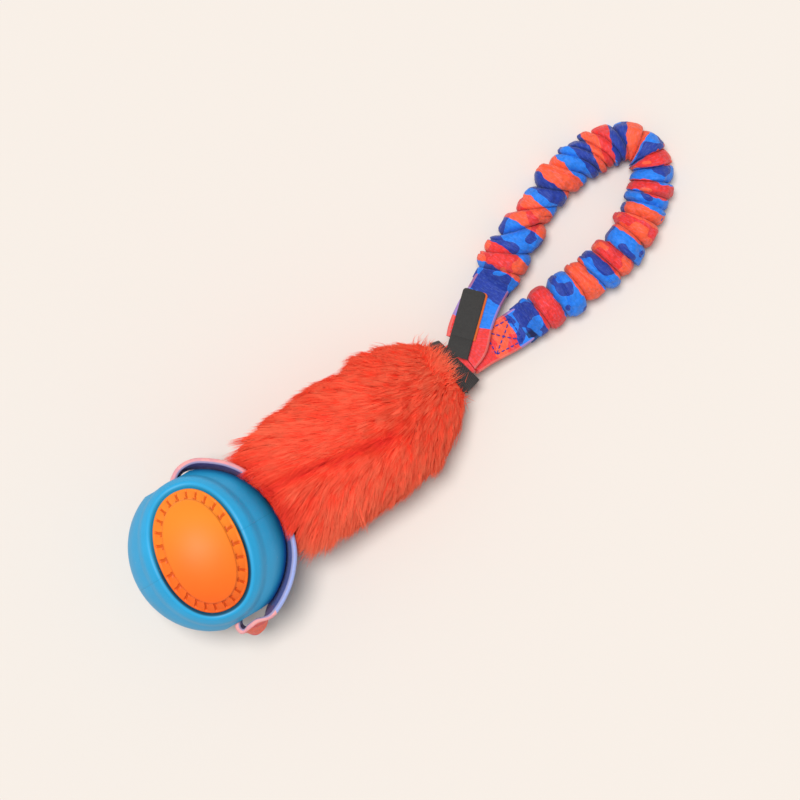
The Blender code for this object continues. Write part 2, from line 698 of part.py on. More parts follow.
def handle_route(stops, start_z, end_z, bend, steps):
    """A smooth route from the handle's root, falling from one height to another.

    A bend above 1 keeps the route high near the root, and one below 1 drops it early.
    """
    points = []
    for x, y in stops:
        points.append(Vector((HANDLE_ROOT.x + x * MM, y * MM, 0.0)))
    route = smooth_route(points, steps)
    lengths = [0.0]
    for a, b in zip(route, route[1:]):
        lengths.append(lengths[-1] + (b - a).length)
    for point, length in zip(route, lengths):
        point.z = start_z + (end_z - start_z) * (length / lengths[-1]) ** bend
    return route


def tail_routes():
    step = (TAIL_THICKNESS + GAP) / 2.0
    left_end = tube_radius(0.0) - TUBE_SINK
    right_end = tube_radius(1.0) - TUBE_SINK
    left = handle_route(LEFT_TAIL_ROUTE, HANDLE_HEIGHT + step, left_end, 2.0, 3)
    right = handle_route(RIGHT_TAIL_ROUTE, HANDLE_HEIGHT - step, right_end, 0.6, 3)
    return left, right


def make_tail(name, route):
    sides = flat_sides(route)
    sides[0] = Vector((0.0, 1.0, 0.0))
    return add_object(name, strip(route, sides, TAIL_WIDTH, TAIL_THICKNESS), PRINT_RED)


def crossed_box():
    """Corners and faces of a stitched box with a cross, flat, as a net of thread."""
    a, b = STITCH_LENGTH / 2.0, STITCH_WIDTH / 2.0
    t = STITCH_THREAD
    corners = [(-a, -b), (a, -b), (a, b), (-a, b)]
    gaps = [[(-a + 2.2 * t, -b + t), (a - 2.2 * t, -b + t), (0.0, -1.1 * t)],
            [(a - t, -b + 2.0 * t), (a - t, b - 2.0 * t), (1.3 * t, 0.0)],
            [(a - 2.2 * t, b - t), (-a + 2.2 * t, b - t), (0.0, 1.1 * t)],
            [(-a + t, b - 2.0 * t), (-a + t, -b + 2.0 * t), (-1.3 * t, 0.0)]]
    points = corners + [point for gap in gaps for point in gap]
    faces = []
    for i in range(4):
        j = (i + 1) % 4
        faces.append((i, j, 4 + 3 * i + 1, 4 + 3 * i))
        faces.append((j, 4 + 3 * j, 4 + 3 * j + 2, 4 + 3 * i + 2, 4 + 3 * i + 1))
    faces.append((6, 9, 12, 15))
    return points, faces


def make_box_stitch(name, route, share, facing):
    """A crossed box of thread on a tail: facing is 1 for its upper face and -1 for its underside."""
    last = 59
    fine = even_points(route, last + 1)
    spacing = (fine[1] - fine[0]).length
    slopes = tangents(fine)
    points, faces = crossed_box()
    bm = bmesh.new()
    layers = []
    for height in (0.0, STITCH_HEIGHT):
        layer = []
        for u, v in points:
            k = min(max(round(share * last + u / spacing), 0), last)
            side = UP.cross(slopes[k]).normalized()
            normal = slopes[k].cross(side).normalized() * facing
            lift = TAIL_THICKNESS / 2.0 + 1.4 * GAP + height
            layer.append(bm.verts.new(fine[k] + side * v + normal * lift))
        layers.append(layer)
    for face in faces:
        bm.faces.new([layers[0][i] for i in reversed(face)])
        bm.faces.new([layers[1][i] for i in face])
    rims = [(0, 1, 2, 3)] + [(6 + 3 * i, 5 + 3 * i, 4 + 3 * i) for i in range(4)]
    for rim in rims:
        for a, b in zip(rim, rim[1:] + rim[:1]):
            bm.faces.new((layers[0][a], layers[0][b], layers[1][b], layers[1][a]))
    return add_object(name, bm, NAVY_THREAD)


def tube_radius(share):
    """Mean crest radius of the ruched tube: fuller near the left tail, slim round the bow."""
    slim = math.sin(math.pi * min(share / 0.9, 1.0)) ** 2
    full = TUBE_RADIUS + 0.5 * MM * (1.0 - share)
    return full + (TUBE_SLIM_RADIUS - full) * slim


def straight_run(tail):
    """Three stops that lead straight out of a tail's end for one tube diameter."""
    along = Vector((tail[-1].x - tail[-2].x, tail[-1].y - tail[-2].y, 0.0)).normalized()
    end = Vector((tail[-1].x, tail[-1].y, 0.0))
    return [end + along * reach for reach in (GAP * 1.5, TUBE_RADIUS, 2.0 * TUBE_RADIUS)]


def loop_points(count):
    """Evenly spaced points round the hand loop, from tail to tail, and the directions of its ends."""
    left, right = tail_routes()
    around = [Vector((HANDLE_ROOT.x + x * MM, y * MM, 0.0)) for x, y in LOOP_ROUTE]
    stops = straight_run(left) + around + straight_run(right)[::-1]
    points = even_points(smooth_route(stops, 12), count)
    for k, point in enumerate(points):
        point.z = tube_radius(k / (count - 1)) - TUBE_SINK
    ends = (points[0] - points[1]).normalized(), (points[-1] - points[-2]).normalized()
    return points, ends


def add_tube(name, points, radii, look, resolution):
    """A round tube along points, each with its own radius: a bevelled curve made a mesh."""
    curve = bpy.data.curves.new(name, "CURVE")
    curve.dimensions = "3D"
    curve.bevel_depth = 1.0
    curve.bevel_resolution = resolution
    curve.use_fill_caps = True
    spline = curve.splines.new("POLY")
    spline.points.add(len(points) - 1)
    for slot, point, radius in zip(spline.points, points, radii):
        slot.co = (*point, 1.0)
        slot.radius = radius
    guide = bpy.data.objects.new(name + " guide", curve)
    bpy.context.scene.collection.objects.link(guide)
    bpy.context.view_layer.update()
    mesh = bpy.data.meshes.new_from_object(guide.evaluated_get(bpy.context.evaluated_depsgraph_get()))
    bm = bmesh.new()
    bm.from_mesh(mesh)
    bmesh.ops.remove_doubles(bm, verts=bm.verts, dist=0.001 * MM)
    bpy.data.objects.remove(guide, do_unlink=True)
    bpy.data.meshes.remove(mesh)
    return add_object(name, bm, look)


def rib_radius(k, share):
    """Crests and valleys in turn, each crest a little unlike its neighbours."""
    crest = tube_radius(share)
    if k % 2:
        return crest + 0.35 * MM * math.sin(2.4 * k)
    return crest - RIB_DEPTH + 0.25 * MM * math.sin(1.7 * k)


def make_loop():
    count = 2 * RIB_COUNT + 1
    points, ends = loop_points(count)
    radii = [rib_radius(k, k / (count - 1)) for k in range(count)]
    sleeve = add_tube("ruched_sleeve", points, radii, PRINT_RED, 2)
    bore_points, bore_ends = loop_points(BUNGEE_POINTS)
    bore_points[0] = bore_points[0] + bore_ends[0] * CUT_OVERRUN
    bore_points[-1] = bore_points[-1] + bore_ends[1] * CUT_OVERRUN
    bore = add_tube("bore tool", bore_points, [BORE_RADIUS] * BUNGEE_POINTS, BLACK_WEBBING, 1)
    floor = box((HANDLE_ROOT.x, -0.1, -0.02), (HANDLE_ROOT.x + 0.2, 0.1, 0.0))
    floor_tool = add_cutter("floor tool", floor)
    for tool in (bore, floor_tool):
        tool.hide_render = True
        tool.display_type = "WIRE"
        cut(sleeve, tool)
    cord_points, _ = loop_points(BUNGEE_POINTS)
    cord = add_tube("bungee_cord", cord_points, [BUNGEE_RADIUS] * BUNGEE_POINTS, WHITE_ELASTIC, 1)
    return sleeve, cord


def height_over(route, point):
    """Height of a tail's upper face where it passes nearest to a point."""
    nearest = min(route, key=lambda stop: math.hypot(stop.x - point.x, stop.y - point.y))
    return nearest.z + TAIL_THICKNESS / 2.0


def make_label(left_tail):
    """The folded label over the left tail: a dark face on an orange backing."""
    foot, tip = [Vector((HANDLE_ROOT.x + x * MM, y * MM, 0.0)) for x, y in LABEL_ROUTE]
    side = UP.cross(tip - foot).normalized()
    lane = [foot.lerp(tip, k / LABEL_STEPS) for k in range(LABEL_STEPS + 1)]
    for point in lane:
        point.z = height_over(left_tail, point) + LABEL_REST_GAP + LABEL_THICKNESS / 2.0
    sides = [side] * len(lane)
    edged = [point - side * LABEL_EDGE / 2.0 for point in lane]
    backing = strip(edged, sides, LABEL_WIDTH + LABEL_EDGE, LABEL_THICKNESS)
    raised = [point + UP * (LABEL_THICKNESS + GAP * 1.3) for point in lane]
    face = strip(raised, sides, LABEL_WIDTH, LABEL_THICKNESS)
    return (lane[0], add_object("label_face", face, BLACK_WEBBING),
            add_object("label_backing", backing, ORANGE_RUBBER))


def main():
    clear_scene()
    make_fur_body()
    make_collar()
    make_collar_stitching()
    ball_pivot = make_ball()
    swing = add_empty("swing pivot", Vector((HINGE_X, 0.0, BALL_CENTRE.z)))
    hold(swing, make_neck(), make_neck_stitching())
    twist = add_empty("twist pivot", Vector((HINGE_X, 0.0, BALL_CENTRE.z)), parent=swing)
    hold(twist, make_ball_strap(), ball_pivot)
    left, right = tail_routes()
    handle = add_empty("handle pivot", HANDLE_ROOT)
    hold(handle, make_tail("tail_left", left), make_tail("tail_right", right),
         make_box_stitch("box_stitch_left", left, LEFT_STITCH_AT, -1.0),
         make_box_stitch("box_stitch_right", right, RIGHT_STITCH_AT, 1.0))
    foot, face, backing = make_label(left)
    label = add_empty("label pivot", foot, parent=handle)
    hold(label, face, backing)
    hold(handle, *make_loop())


main()
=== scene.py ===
"""Dresses a dog's ball tug toy: a rubber ball on a webbing loop, a fur sleeve and a ruched hand loop.

The toy lies flat and is seen from straight above. Lengths are in millimetres until a mesh is made.
"""

import json
import math

import bpy
import numpy as np
from bpy.props import FloatProperty, FloatVectorProperty, IntProperty, PointerProperty
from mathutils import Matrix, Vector
from mathutils.kdtree import KDTree

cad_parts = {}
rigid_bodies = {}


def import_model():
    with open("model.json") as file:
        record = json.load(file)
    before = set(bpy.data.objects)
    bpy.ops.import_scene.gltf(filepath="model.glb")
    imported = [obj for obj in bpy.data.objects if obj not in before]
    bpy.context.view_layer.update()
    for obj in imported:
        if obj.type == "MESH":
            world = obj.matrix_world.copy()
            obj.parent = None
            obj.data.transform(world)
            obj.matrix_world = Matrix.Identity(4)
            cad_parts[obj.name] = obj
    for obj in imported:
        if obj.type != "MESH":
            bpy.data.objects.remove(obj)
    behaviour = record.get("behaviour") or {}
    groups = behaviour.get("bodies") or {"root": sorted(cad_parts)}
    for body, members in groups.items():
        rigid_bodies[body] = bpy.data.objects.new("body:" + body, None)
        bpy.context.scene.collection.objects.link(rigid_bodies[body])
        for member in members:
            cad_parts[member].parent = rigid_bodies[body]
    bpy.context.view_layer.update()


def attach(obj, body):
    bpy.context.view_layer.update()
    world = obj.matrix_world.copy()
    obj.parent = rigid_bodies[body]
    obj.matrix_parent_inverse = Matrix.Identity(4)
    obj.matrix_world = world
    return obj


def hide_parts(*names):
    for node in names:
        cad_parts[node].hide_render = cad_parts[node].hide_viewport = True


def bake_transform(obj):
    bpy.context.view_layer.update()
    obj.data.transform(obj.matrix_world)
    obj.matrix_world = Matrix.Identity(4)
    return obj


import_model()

bl_info = {
    "name": "Ball tug toy",
    "version": (1, 0, 0),
    "blender": (4, 5, 0),
    "location": "View3D > Sidebar > Tug toy",
    "description": "Dresses a ball tug toy with its rubber, fur and printed fabric",
    "category": "Object",
}

MM = 0.001
UP = np.array((0.0, 0.0, 1.0))

# Ball
BALL_RADIUS = 31.75
BALL_HALF_LENGTH = 33.4
BALL_TURN = math.radians(-6.0)
REST_FLAT_DEPTH = 0.35
SHELL_WALL = 4.2
CORE_WALL = 5.0
WINDOW_HALF_WIDTH = 18.2
WINDOW_HALF_LENGTH = 27.1
WINDOW_POWER = 2.15
WINDOW_SHIFT = (-0.4, 1.3)
WINDOW_TURN = math.radians(-7.6)
CHANNEL_RADIUS = 10.0
CHANNEL_STRAIGHT = 12.0
CHANNEL_END = 36.5
MOUTH_PLACE = 30.3
MOUTH_ROUNDING = 1.4
PAD_SIDE_GAP = 0.35
PAD_RING_WIDTH = 4.3
PAD_RING_DEPTH = 0.9
PAD_FIELD_DEPTH = 0.1
# Painted shade on the pads: the bearing of their darkening and the length it runs over
PAD_SHADE_TURN = math.radians(37.0)
PAD_SHADE_LENGTH = 44.0
SEAM_SHADE = 0.22
NOTCH_COUNT = 26
NOTCH_START = 0.75
NOTCH_END = 4.2

# Rim round a window: distance from the window's edge, and share of the rim's height
RIM_FOOT = -0.55
RIM_STOPS = ((1.6, 0.95), (3.7, 0.98), (9.8, -0.2), (16.0, 0.0))

# Webbing and the hinge between the ball's strap and the fur
HINGE_X = -41.0
NECK_LENGTH = 3.2
NECK_THICKNESS = 4.4
STRAP_WIDTH = 16.0
STRAP_THICKNESS = 2.0
STRAP_CLEARANCE = 1.2
CORE_THICKNESS = 3.6
GAP = 0.3
BALL_CENTRE = np.array((HINGE_X - NECK_LENGTH - GAP - BALL_RADIUS - STRAP_CLEARANCE - STRAP_THICKNESS,
                        0.0, BALL_RADIUS - REST_FLAT_DEPTH))

# Strap round the ball: bearing from the ball's middle in degrees, and height over the ball
STRAP_LEFT = ((4.0, 2.2), (20.0, 2.2), (38.0, 2.2), (52.0, 2.2), (63.0, 2.2), (71.0, 1.2),
              (76.5, -1.0), (79.5, -3.2))
STRAP_RIGHT = ((-4.0, 2.2), (-20.0, 2.2), (-38.0, 2.2), (-54.0, 2.2), (-68.0, 2.3), (-80.0, 2.6),
               (-90.0, 3.4), (-97.5, 3.9), (-102.5, 2.4), (-104.0, 0.0), (-101.5, -3.2))

# Strap inside the ball: places along the channel
CHANNEL_STOPS = (25.0, 14.0, 0.0, -14.0, -25.0)

# Lean of the strap away from the ball: bearing and lean, both in degrees
STRAP_LEAN = ((-102.0, 0.0), (-98.0, -18.0), (-91.0, -18.0), (-82.0, 12.0), (-28.0, 12.0), (-10.0, 0.0),
              (10.0, 0.0), (28.0, 12.0), (60.0, 12.0), (76.0, 0.0))

# Printed cloth: how far before its start the first band begins, and room from the last band's start
PRINT_LEAD = 8.0
PRINT_ROOM = 14.0

# Fur sleeve
FUR_FRONT_X = -38.8
FUR_REAR_X = 45.7
FUR_POWER = 2.25
HANDLE_HEIGHT = 14.0
SKIN_WALL = 0.9
SKIN_NOSE_X = -37.2
SKIN_ROUNDING = 7.5
SKIN_START_X = -36.6
SKIN_END_X = 45.4
ROOTS_START_X = -37.1
ROOTS_END_X = 44.6
STRANDS_PER_PIECE = 11000
STRAND_STEPS = 4
OVER_STRAP_REACH = 17.0

# Sections of the fur: place along the toy, sideways shift, height of the middle, half width, half height
FUR_STATIONS = (
    (-38.8, 0.0, 28.9, 12.2, 13.5), (-38.1, -0.1, 27.9, 16.0, 15.8), (-36.7, -0.1, 26.5, 20.0, 18.3),
    (-33.7, -0.3, 25.1, 23.5, 20.4), (-28.7, -0.6, 23.9, 26.7, 22.0), (-21.9, -0.9, 22.9, 28.4, 23.0),
    (-9.2, -1.3, 22.6, 29.0, 23.2), (5.1, -1.5, 22.3, 29.0, 22.9), (18.7, -1.3, 20.9, 27.6, 21.5),
    (28.0, -0.9, 18.7, 23.8, 18.6), (34.7, -0.6, 16.7, 19.1, 14.6), (39.4, -0.4, 15.1, 14.8, 10.7),
    (42.2, -0.2, 14.2, 12.2, 8.1), (45.7, 0.0, 14.0, 10.2, 6.3),
)

# Parting of the fur, as seen from above
PARTING = ((-46.0, 5.0), (-32.4, 2.8), (6.5, -8.2), (25.0, -5.0), (46.0, 0.0))

# Tufts of the fur, as on its solid
TUFT_SIDES = 36
TUFT_RINGS = 15
TUFT_FIRST_RING = 3
TUFT_HEIGHT = 3.6
TUFT_START_X = -33.7
TUFT_END_X = 38.5
TUFT_FADE = 12.0
TUFT_RISE = 7.0

# Sections of the collar band: place along the toy, half width, half height
COLLAR_STATIONS = ((42.9, 12.3, 8.4), (43.3, 12.6, 8.7), (44.6, 12.7, 8.7), (46.2, 12.5, 7.6),
                   (47.6, 12.1, 5.6), (48.6, 11.9, 4.3), (49.6, 11.6, 3.6))
COLLAR_ROUNDING = 0.8
COLLAR_SLANT = -0.16
COLLAR_WALL = 1.2
COLLAR_SEAM_X = 44.3
COLLAR_SEAM_HALF_WIDTH = 12.75
COLLAR_SEAM_HALF_HEIGHT = 8.75

# Handle
HANDLE_ROOT_X = 52.6
TAIL_WIDTH = 16.0
TAIL_THICKNESS = 2.0
TAIL_ROWS = 90
BOX_HALF_LENGTH = 6.2
BOX_HALF_WIDTH = 5.3
TUBE_RADIUS = 9.3
TUBE_SLIM_RADIUS = 8.4
TUBE_SINK = 0.5
LINING_RADIUS = 5.2
CORD_RADIUS = 4.2

# Left side of the left tail: places along it, and how far it spreads there
TAIL_SPREAD_PLACES = (0.0, 10.0, 20.0, 26.0)
TAIL_SPREAD = (2.2, 2.2, 1.0, 0.0)

# Half width and half height at both mouths of the hand loop
SLEEVE_MOUTH = (8.5, 1.95)
LINING_MOUTH = (8.1, 1.45)
CORD_MOUTH = (6.2, 1.1)

# Routes from the handle's root: places along the toy and to its left
LEFT_TAIL_ROUTE = ((0.0, 1.0), (4.5, 2.9), (11.0, 8.4), (18.5, 13.2), (24.0, 15.8), (28.0, 17.5))
RIGHT_TAIL_ROUTE = ((0.0, -1.2), (7.0, -1.6), (14.0, -2.6), (21.0, -3.7), (28.6, -4.2))
LOOP_ROUTE = ((57.0, 29.6), (67.2, 32.4), (78.5, 35.0), (89.0, 36.2), (98.2, 34.8), (105.7, 31.3),
              (110.6, 25.7), (111.2, 18.9), (107.8, 12.7), (101.7, 7.3), (94.3, 2.8), (85.1, -1.2),
              (74.3, -4.0), (62.9, -5.6))
LABEL_ROUTE = ((3.4, 6.8), (19.7, 19.2))

# Label, and the place where its foot enters the collar
LABEL_WIDTH = 9.6
LABEL_THICKNESS = 0.6
LABEL_EDGE = 1.0
LABEL_CORNER = 1.5
LABEL_FOOT = (49.4, 1.8, 18.2)
LABEL_FOOT_THICKNESS = 1.2

# Stage: the floor's size is in metres
FLOOR_SIZE = 6.0
KEY_SPREAD = math.radians(22.0)
KEY_TILT = (math.radians(-11.0), math.radians(-2.0), 0.0)
CAMERA_PLACE = (20.11, 1.55, 1081.75)
CAMERA_TURN = math.radians(-37.0)
SENSOR_WIDTH = 36.0

# Folds of the ruched sleeve: place along it, lean to the inside, reach outside and inside of the bend
FOLDS = (
    (2.0, -4.0, 9.0, 9.4), (7.4, -5.5, 10.4, 9.4), (18.1, -11.0, 10.3, 9.4), (31.4, -11.0, 10.2, 7.4),
    (40.8, -10.5, 8.2, 7.6), (50.9, -8.1, 10.4, 8.4), (58.9, -7.0, 8.8, 9.4), (64.3, -8.5, 9.8, 9.4),
    (69.0, -9.0, 8.6, 8.8), (74.0, -9.2, 8.9, 8.9), (79.6, -8.8, 9.2, 7.8), (85.6, -5.0, 9.0, 6.6),
    (91.0, 0.5, 8.4, 9.0), (96.2, 2.8, 8.0, 9.8), (102.7, -3.0, 8.8, 9.8), (109.0, 0.4, 9.7, 9.8),
    (113.8, 1.1, 8.6, 9.8), (118.9, -2.3, 9.4, 9.5), (125.7, -2.5, 9.8, 9.6), (134.2, 1.5, 10.6, 8.8),
    (141.0, -1.9, 9.4, 9.2), (149.1, -0.5, 9.8, 9.9), (156.9, -1.4, 8.2, 9.8), (166.3, -0.6, 9.0, 9.9),
    (176.4, -2.9, 8.6, 9.7), (183.4, -4.0, 8.6, 9.9),
)
FOLD_COLOURS = ("navy", "red", "navy", "red", "navy", "orange", "blue", "navy", "orange", "red",
                "navy", "orange", "blue", "orange", "blue", "red", "blue", "orange", "red", "navy",
                "orange", "blue", "orange", "blue", "red", "navy")
FOLD_PARTNERS = ("blue", "orange", "blue", "orange", "blue", "orange", "navy", "blue", "red", "orange",
                 "blue", "red", "navy", "red", "navy", "orange", "navy", "navy", "orange", "blue",
                 "red", "navy", "red", "navy", "orange", "blue")


def linear(red, green, blue):
    """A colour picked as 0 to 255 values, as the shader wants it."""
    result = []
    for value in (red, green, blue):
        share = value / 255.0
        result.append(share / 12.92 if share <= 0.04045 else ((share + 0.055) / 1.055) ** 2.4)
    return tuple(result)


class BallSettings(bpy.types.PropertyGroup):
    """Sizes and colours of the ball."""

    rubber: FloatVectorProperty(name="Rubber", description="Colour of the ball's shell", subtype="COLOR",
                                size=3, min=0.0, max=1.0, default=linear(36, 163, 216))
    pad: FloatVectorProperty(name="Pad", description="Colour of the oval pads", subtype="COLOR",
                             size=3, min=0.0, max=1.0, default=linear(255, 138, 30))
    # Colour of the pads' far end, darker as painted shade
    pad_shaded: FloatVectorProperty(name="Pad, far end", description="Colour of the pads' far end",
                                 subtype="COLOR", size=3, min=0.0, max=1.0, default=linear(255, 104, 22))
    rim: FloatProperty(name="Rim height", description="Height of the swollen rim round each window",
                       unit="LENGTH", min=0.0, default=1.05 * MM)
    notch: FloatProperty(name="Notch depth", description="Depth of the moulded notches round the pads",
                         unit="LENGTH", min=0.0, default=0.8 * MM)


class FurSettings(bpy.types.PropertyGroup):
    """Amount, size and colours of the pile."""

    # The dark roots are painted shade between the strands
    root: FloatVectorProperty(name="Roots", description="Colour of the pile at its roots", subtype="COLOR",
                              size=3, min=0.0, max=1.0, default=linear(214, 16, 16))
    middle: FloatVectorProperty(name="Middle", description="Colour of the pile half way up", subtype="COLOR",
                                size=3, min=0.0, max=1.0, default=linear(255, 72, 46))
    # The light tips are a painted highlight
    tip: FloatVectorProperty(name="Tips", description="Colour of the pile's tips", subtype="COLOR",
                             size=3, min=0.0, max=1.0, default=linear(255, 120, 86))
    length: FloatProperty(name="Length", description="Usual length of a strand", unit="LENGTH",
                          min=0.0, default=12.0 * MM)
    width: FloatProperty(name="Width", description="Width of a strand at its root", unit="LENGTH",
                         min=0.0, default=0.27 * MM)
    count: IntProperty(name="Strands", description="Number of strands", min=100, default=66000)
    tufts: IntProperty(name="Tufts", description="Number of tufts that the strands gather in", min=10,
                       default=4600)


class FabricSettings(bpy.types.PropertyGroup):
    """Colours of the printed fabric and the shape of its folds."""

    blue: FloatVectorProperty(name="Bright blue", description="Bright blue of the print", subtype="COLOR",
                              size=3, min=0.0, max=1.0, default=linear(22, 126, 238))
    navy: FloatVectorProperty(name="Navy", description="Dark blue of the print", subtype="COLOR",
                              size=3, min=0.0, max=1.0, default=linear(28, 58, 160))
    orange: FloatVectorProperty(name="Orange", description="Orange of the print", subtype="COLOR",
                                size=3, min=0.0, max=1.0, default=linear(255, 92, 52))
    red: FloatVectorProperty(name="Red", description="Red of the print", subtype="COLOR",
                             size=3, min=0.0, max=1.0, default=linear(238, 50, 46))
    depth: FloatProperty(name="Fold depth", description="Least depth of a valley between two folds",
                         unit="LENGTH", min=0.0, default=1.7 * MM)


class StageSettings(bpy.types.PropertyGroup):
    """Floor, lamps and lens."""

    floor: FloatVectorProperty(name="Floor", description="Colour of the floor", subtype="COLOR",
                               size=3, min=0.0, max=1.0, default=linear(230, 222, 214))
    key: FloatProperty(name="Key light", description="Strength of the soft key light", min=0.0, default=2.65)
    fill: FloatProperty(name="Fill light", description="Strength of the light from all round", min=0.0,
                        default=0.37)
    lens: FloatProperty(name="Lens", description="Focal length in millimetres", min=1.0, default=116.0)


# Meshes

def deselect():
    """Leave nothing selected."""
    for obj in bpy.context.view_layer.objects:
        obj.select_set(False)


def pick(obj):
    """Make one object the only one selected, and active."""
    deselect()
    obj.select_set(True)
    bpy.context.view_layer.objects.active = obj


def turn_faces_out(obj):
    """Point all the faces of a closed piece outwards."""
    pick(obj)
    bpy.ops.object.mode_set(mode="EDIT")
    bpy.ops.mesh.select_all(action="SELECT")
    bpy.ops.mesh.normals_make_consistent(inside=False)
    bpy.ops.object.mode_set(mode="OBJECT")


def new_piece(name, points, quads=(), tris=(), tables=None, sharp=None):
    """An object from points in millimetres and faces, with smooth shading and named point tables."""
    mesh = bpy.data.meshes.new(name)
    places = np.asarray(points, float) * MM
    loops, sizes = [], []
    for block, corners in ((quads, 4), (tris, 3)):
        if len(block):
            loops.append(np.asarray(block, np.int32).ravel())
            sizes.append(np.full(len(block), corners, np.int32))
    corner_list = np.concatenate(loops)
    size_list = np.concatenate(sizes)
    starts = np.concatenate(([0], np.cumsum(size_list)[:-1])).astype(np.int32)
    mesh.vertices.add(len(places))
    mesh.vertices.foreach_set("co", places.ravel())
    mesh.loops.add(len(corner_list))
    mesh.loops.foreach_set("vertex_index", corner_list)
    mesh.polygons.add(len(size_list))
    mesh.polygons.foreach_set("loop_start", starts)
    mesh.update(calc_edges=True)
    for title, values in (tables or {}).items():
        values = np.asarray(values, np.float32)
        kind, slot = ("FLOAT_VECTOR", "vector") if values.ndim == 2 else ("FLOAT", "value")
        mesh.attributes.new(title, kind, "POINT").data.foreach_set(slot, values.ravel())
    mesh.shade_smooth()
    obj = bpy.data.objects.new(name, mesh)
    bpy.context.scene.collection.objects.link(obj)
    if sharp is not None:
        mesh.set_sharp_from_angle(angle=math.radians(sharp))
    return obj


def grid_quads(rows, columns, join_rows=False):
    """Faces between rows of points, each row closed on itself."""
    i = np.arange(rows if join_rows else rows - 1)[:, None]
    j = np.arange(columns)[None, :]
    up, over = (i + 1) % rows, (j + 1) % columns
    corners = [i * columns + j, i * columns + over, up * columns + over, up * columns + j]
    return np.stack(corners, -1).reshape(-1, 4)


def closed_rows(name, rows, tables=None, sharp=None):
    """A closed body from rows of points, each row a ring, with a fan of faces at each end."""
    rows = np.asarray(rows, float)
    count, columns = rows.shape[:2]
    points = np.concatenate([rows.reshape(-1, 3), rows[0].mean(0)[None], rows[-1].mean(0)[None]])
    quads = grid_quads(count, columns)
    j = np.arange(columns)
    over = (j + 1) % columns
    first, last = count * columns, count * columns + 1
    front = np.stack([over, j, np.full(columns, first)], -1)
    back = np.stack([(count - 1) * columns + j, (count - 1) * columns + over, np.full(columns, last)], -1)
    full = {}
    for title, values in (tables or {}).items():
        values = np.asarray(values, float)
        flat = values.reshape(count * columns, -1)
        ends = [values[0].reshape(columns, -1).mean(0)[None], values[-1].reshape(columns, -1).mean(0)[None]]
        joined = np.concatenate([flat] + ends)
        full[title] = joined if values.ndim == 3 else joined[:, 0]
    obj = new_piece(name, points, quads, np.concatenate([front, back]), full, sharp)
    turn_faces_out(obj)
    return obj


def apply_cut(obj, cutter):
    """Take one body out of another with a Boolean, and remove the tool."""
    pick(obj)
    boolean = obj.modifiers.new("cut", "BOOLEAN")
    boolean.operation = "DIFFERENCE"
    boolean.solver = "EXACT"
    boolean.object = cutter
    bpy.ops.object.modifier_apply(modifier=boolean.name)
    bpy.data.objects.remove(cutter, do_unlink=True)


def noise_field(points, size, seed):
    """Smooth noise from -1 to 1 at points, from sums of waves that run in many directions."""
    rng = np.random.default_rng(seed)
    total = np.zeros(points.shape[:-1])
    for _ in range(9):
        direction = rng.normal(size=3)
        direction *= (0.6 + 0.9 * rng.random()) / (size * np.linalg.norm(direction))
        total += np.sin(points @ direction * 2.0 * math.pi + rng.random() * 6.28)
    return total / 4.0


def climb(value, start, run):
    """A share that climbs from 0 to 1 over a run, the other way where the run is negative."""
    return np.clip((value - start) / run, 0.0, 1.0)


def eased(share):
    """A share from 0 to 1 with a soft start and a soft end."""
    return share * share * (3.0 - 2.0 * share)


def squared(wave, power):
    """A sine or cosine to a power with its sign kept, which makes a round section squarer."""
    return np.sign(wave) * np.abs(wave) ** power


def smoothed(values, kernel):
    """Values smoothed with a kernel, as if they ran on level past both ends."""
    return np.convolve(np.pad(values, len(kernel) // 2, mode="edge"), kernel / kernel.sum(), "valid")


# Routes

def smooth_route(stops, steps):
    """Points on a Catmull-Rom curve through the stops, with steps to each stretch."""
    stops = np.asarray(stops, float)
    ends = np.concatenate([[2.0 * stops[0] - stops[1]], stops, [2.0 * stops[-1] - stops[-2]]])
    route = []
    for p0, p1, p2, p3 in zip(ends, ends[1:], ends[2:], ends[3:]):
        for k in range(steps):
            t = k / steps
            route.append(0.5 * (2.0 * p1 + (p2 - p0) * t + (2.0 * p0 - 5.0 * p1 + 4.0 * p2 - p3) * t ** 2
                                + (3.0 * p1 - p0 - 3.0 * p2 + p3) * t ** 3))
    route.append(stops[-1])
    return np.array(route)


def lengths_of(route):
    """Length along a route at each of its points."""
    steps = np.linalg.norm(np.diff(route, axis=0), axis=1)
    return np.concatenate([[0.0], np.cumsum(steps)])


def read_route(route, places):
    """Points at given lengths along a route, carried straight on past its ends."""
    lengths = lengths_of(route)
    points = np.stack([np.interp(places, lengths, route[:, k]) for k in range(3)], -1)
    start = (route[0] - route[1]) / np.linalg.norm(route[0] - route[1])
    end = (route[-1] - route[-2]) / np.linalg.norm(route[-1] - route[-2])
    before = np.minimum(places, 0.0)[:, None]
    after = np.maximum(places - lengths[-1], 0.0)[:, None]
    return points - start * before + end * after


def directions(route):
    """Directions along a route at each of its points, one unit long."""
    step = np.gradient(route, axis=0)
    return step / np.linalg.norm(step, axis=1)[:, None]


def tube_radius(share):
    """Mean crest radius of the ruched sleeve: fuller near the left tail, slim round the bow."""
    slim = np.sin(math.pi * np.minimum(share / 0.9, 1.0)) ** 2
    full = TUBE_RADIUS + 0.5 * (1.0 - share)
    return full + (TUBE_SLIM_RADIUS - full) * slim


def handle_route(stops, start_z, end_z, bend):
    """A tail's middle line, which goes from one height to another."""
    points = [(HANDLE_ROOT_X + x, y, 0.0) for x, y in stops]
    route = smooth_route(points, 12)
    lengths = lengths_of(route)
    route[:, 2] = start_z + (end_z - start_z) * (lengths / lengths[-1]) ** bend
    return route


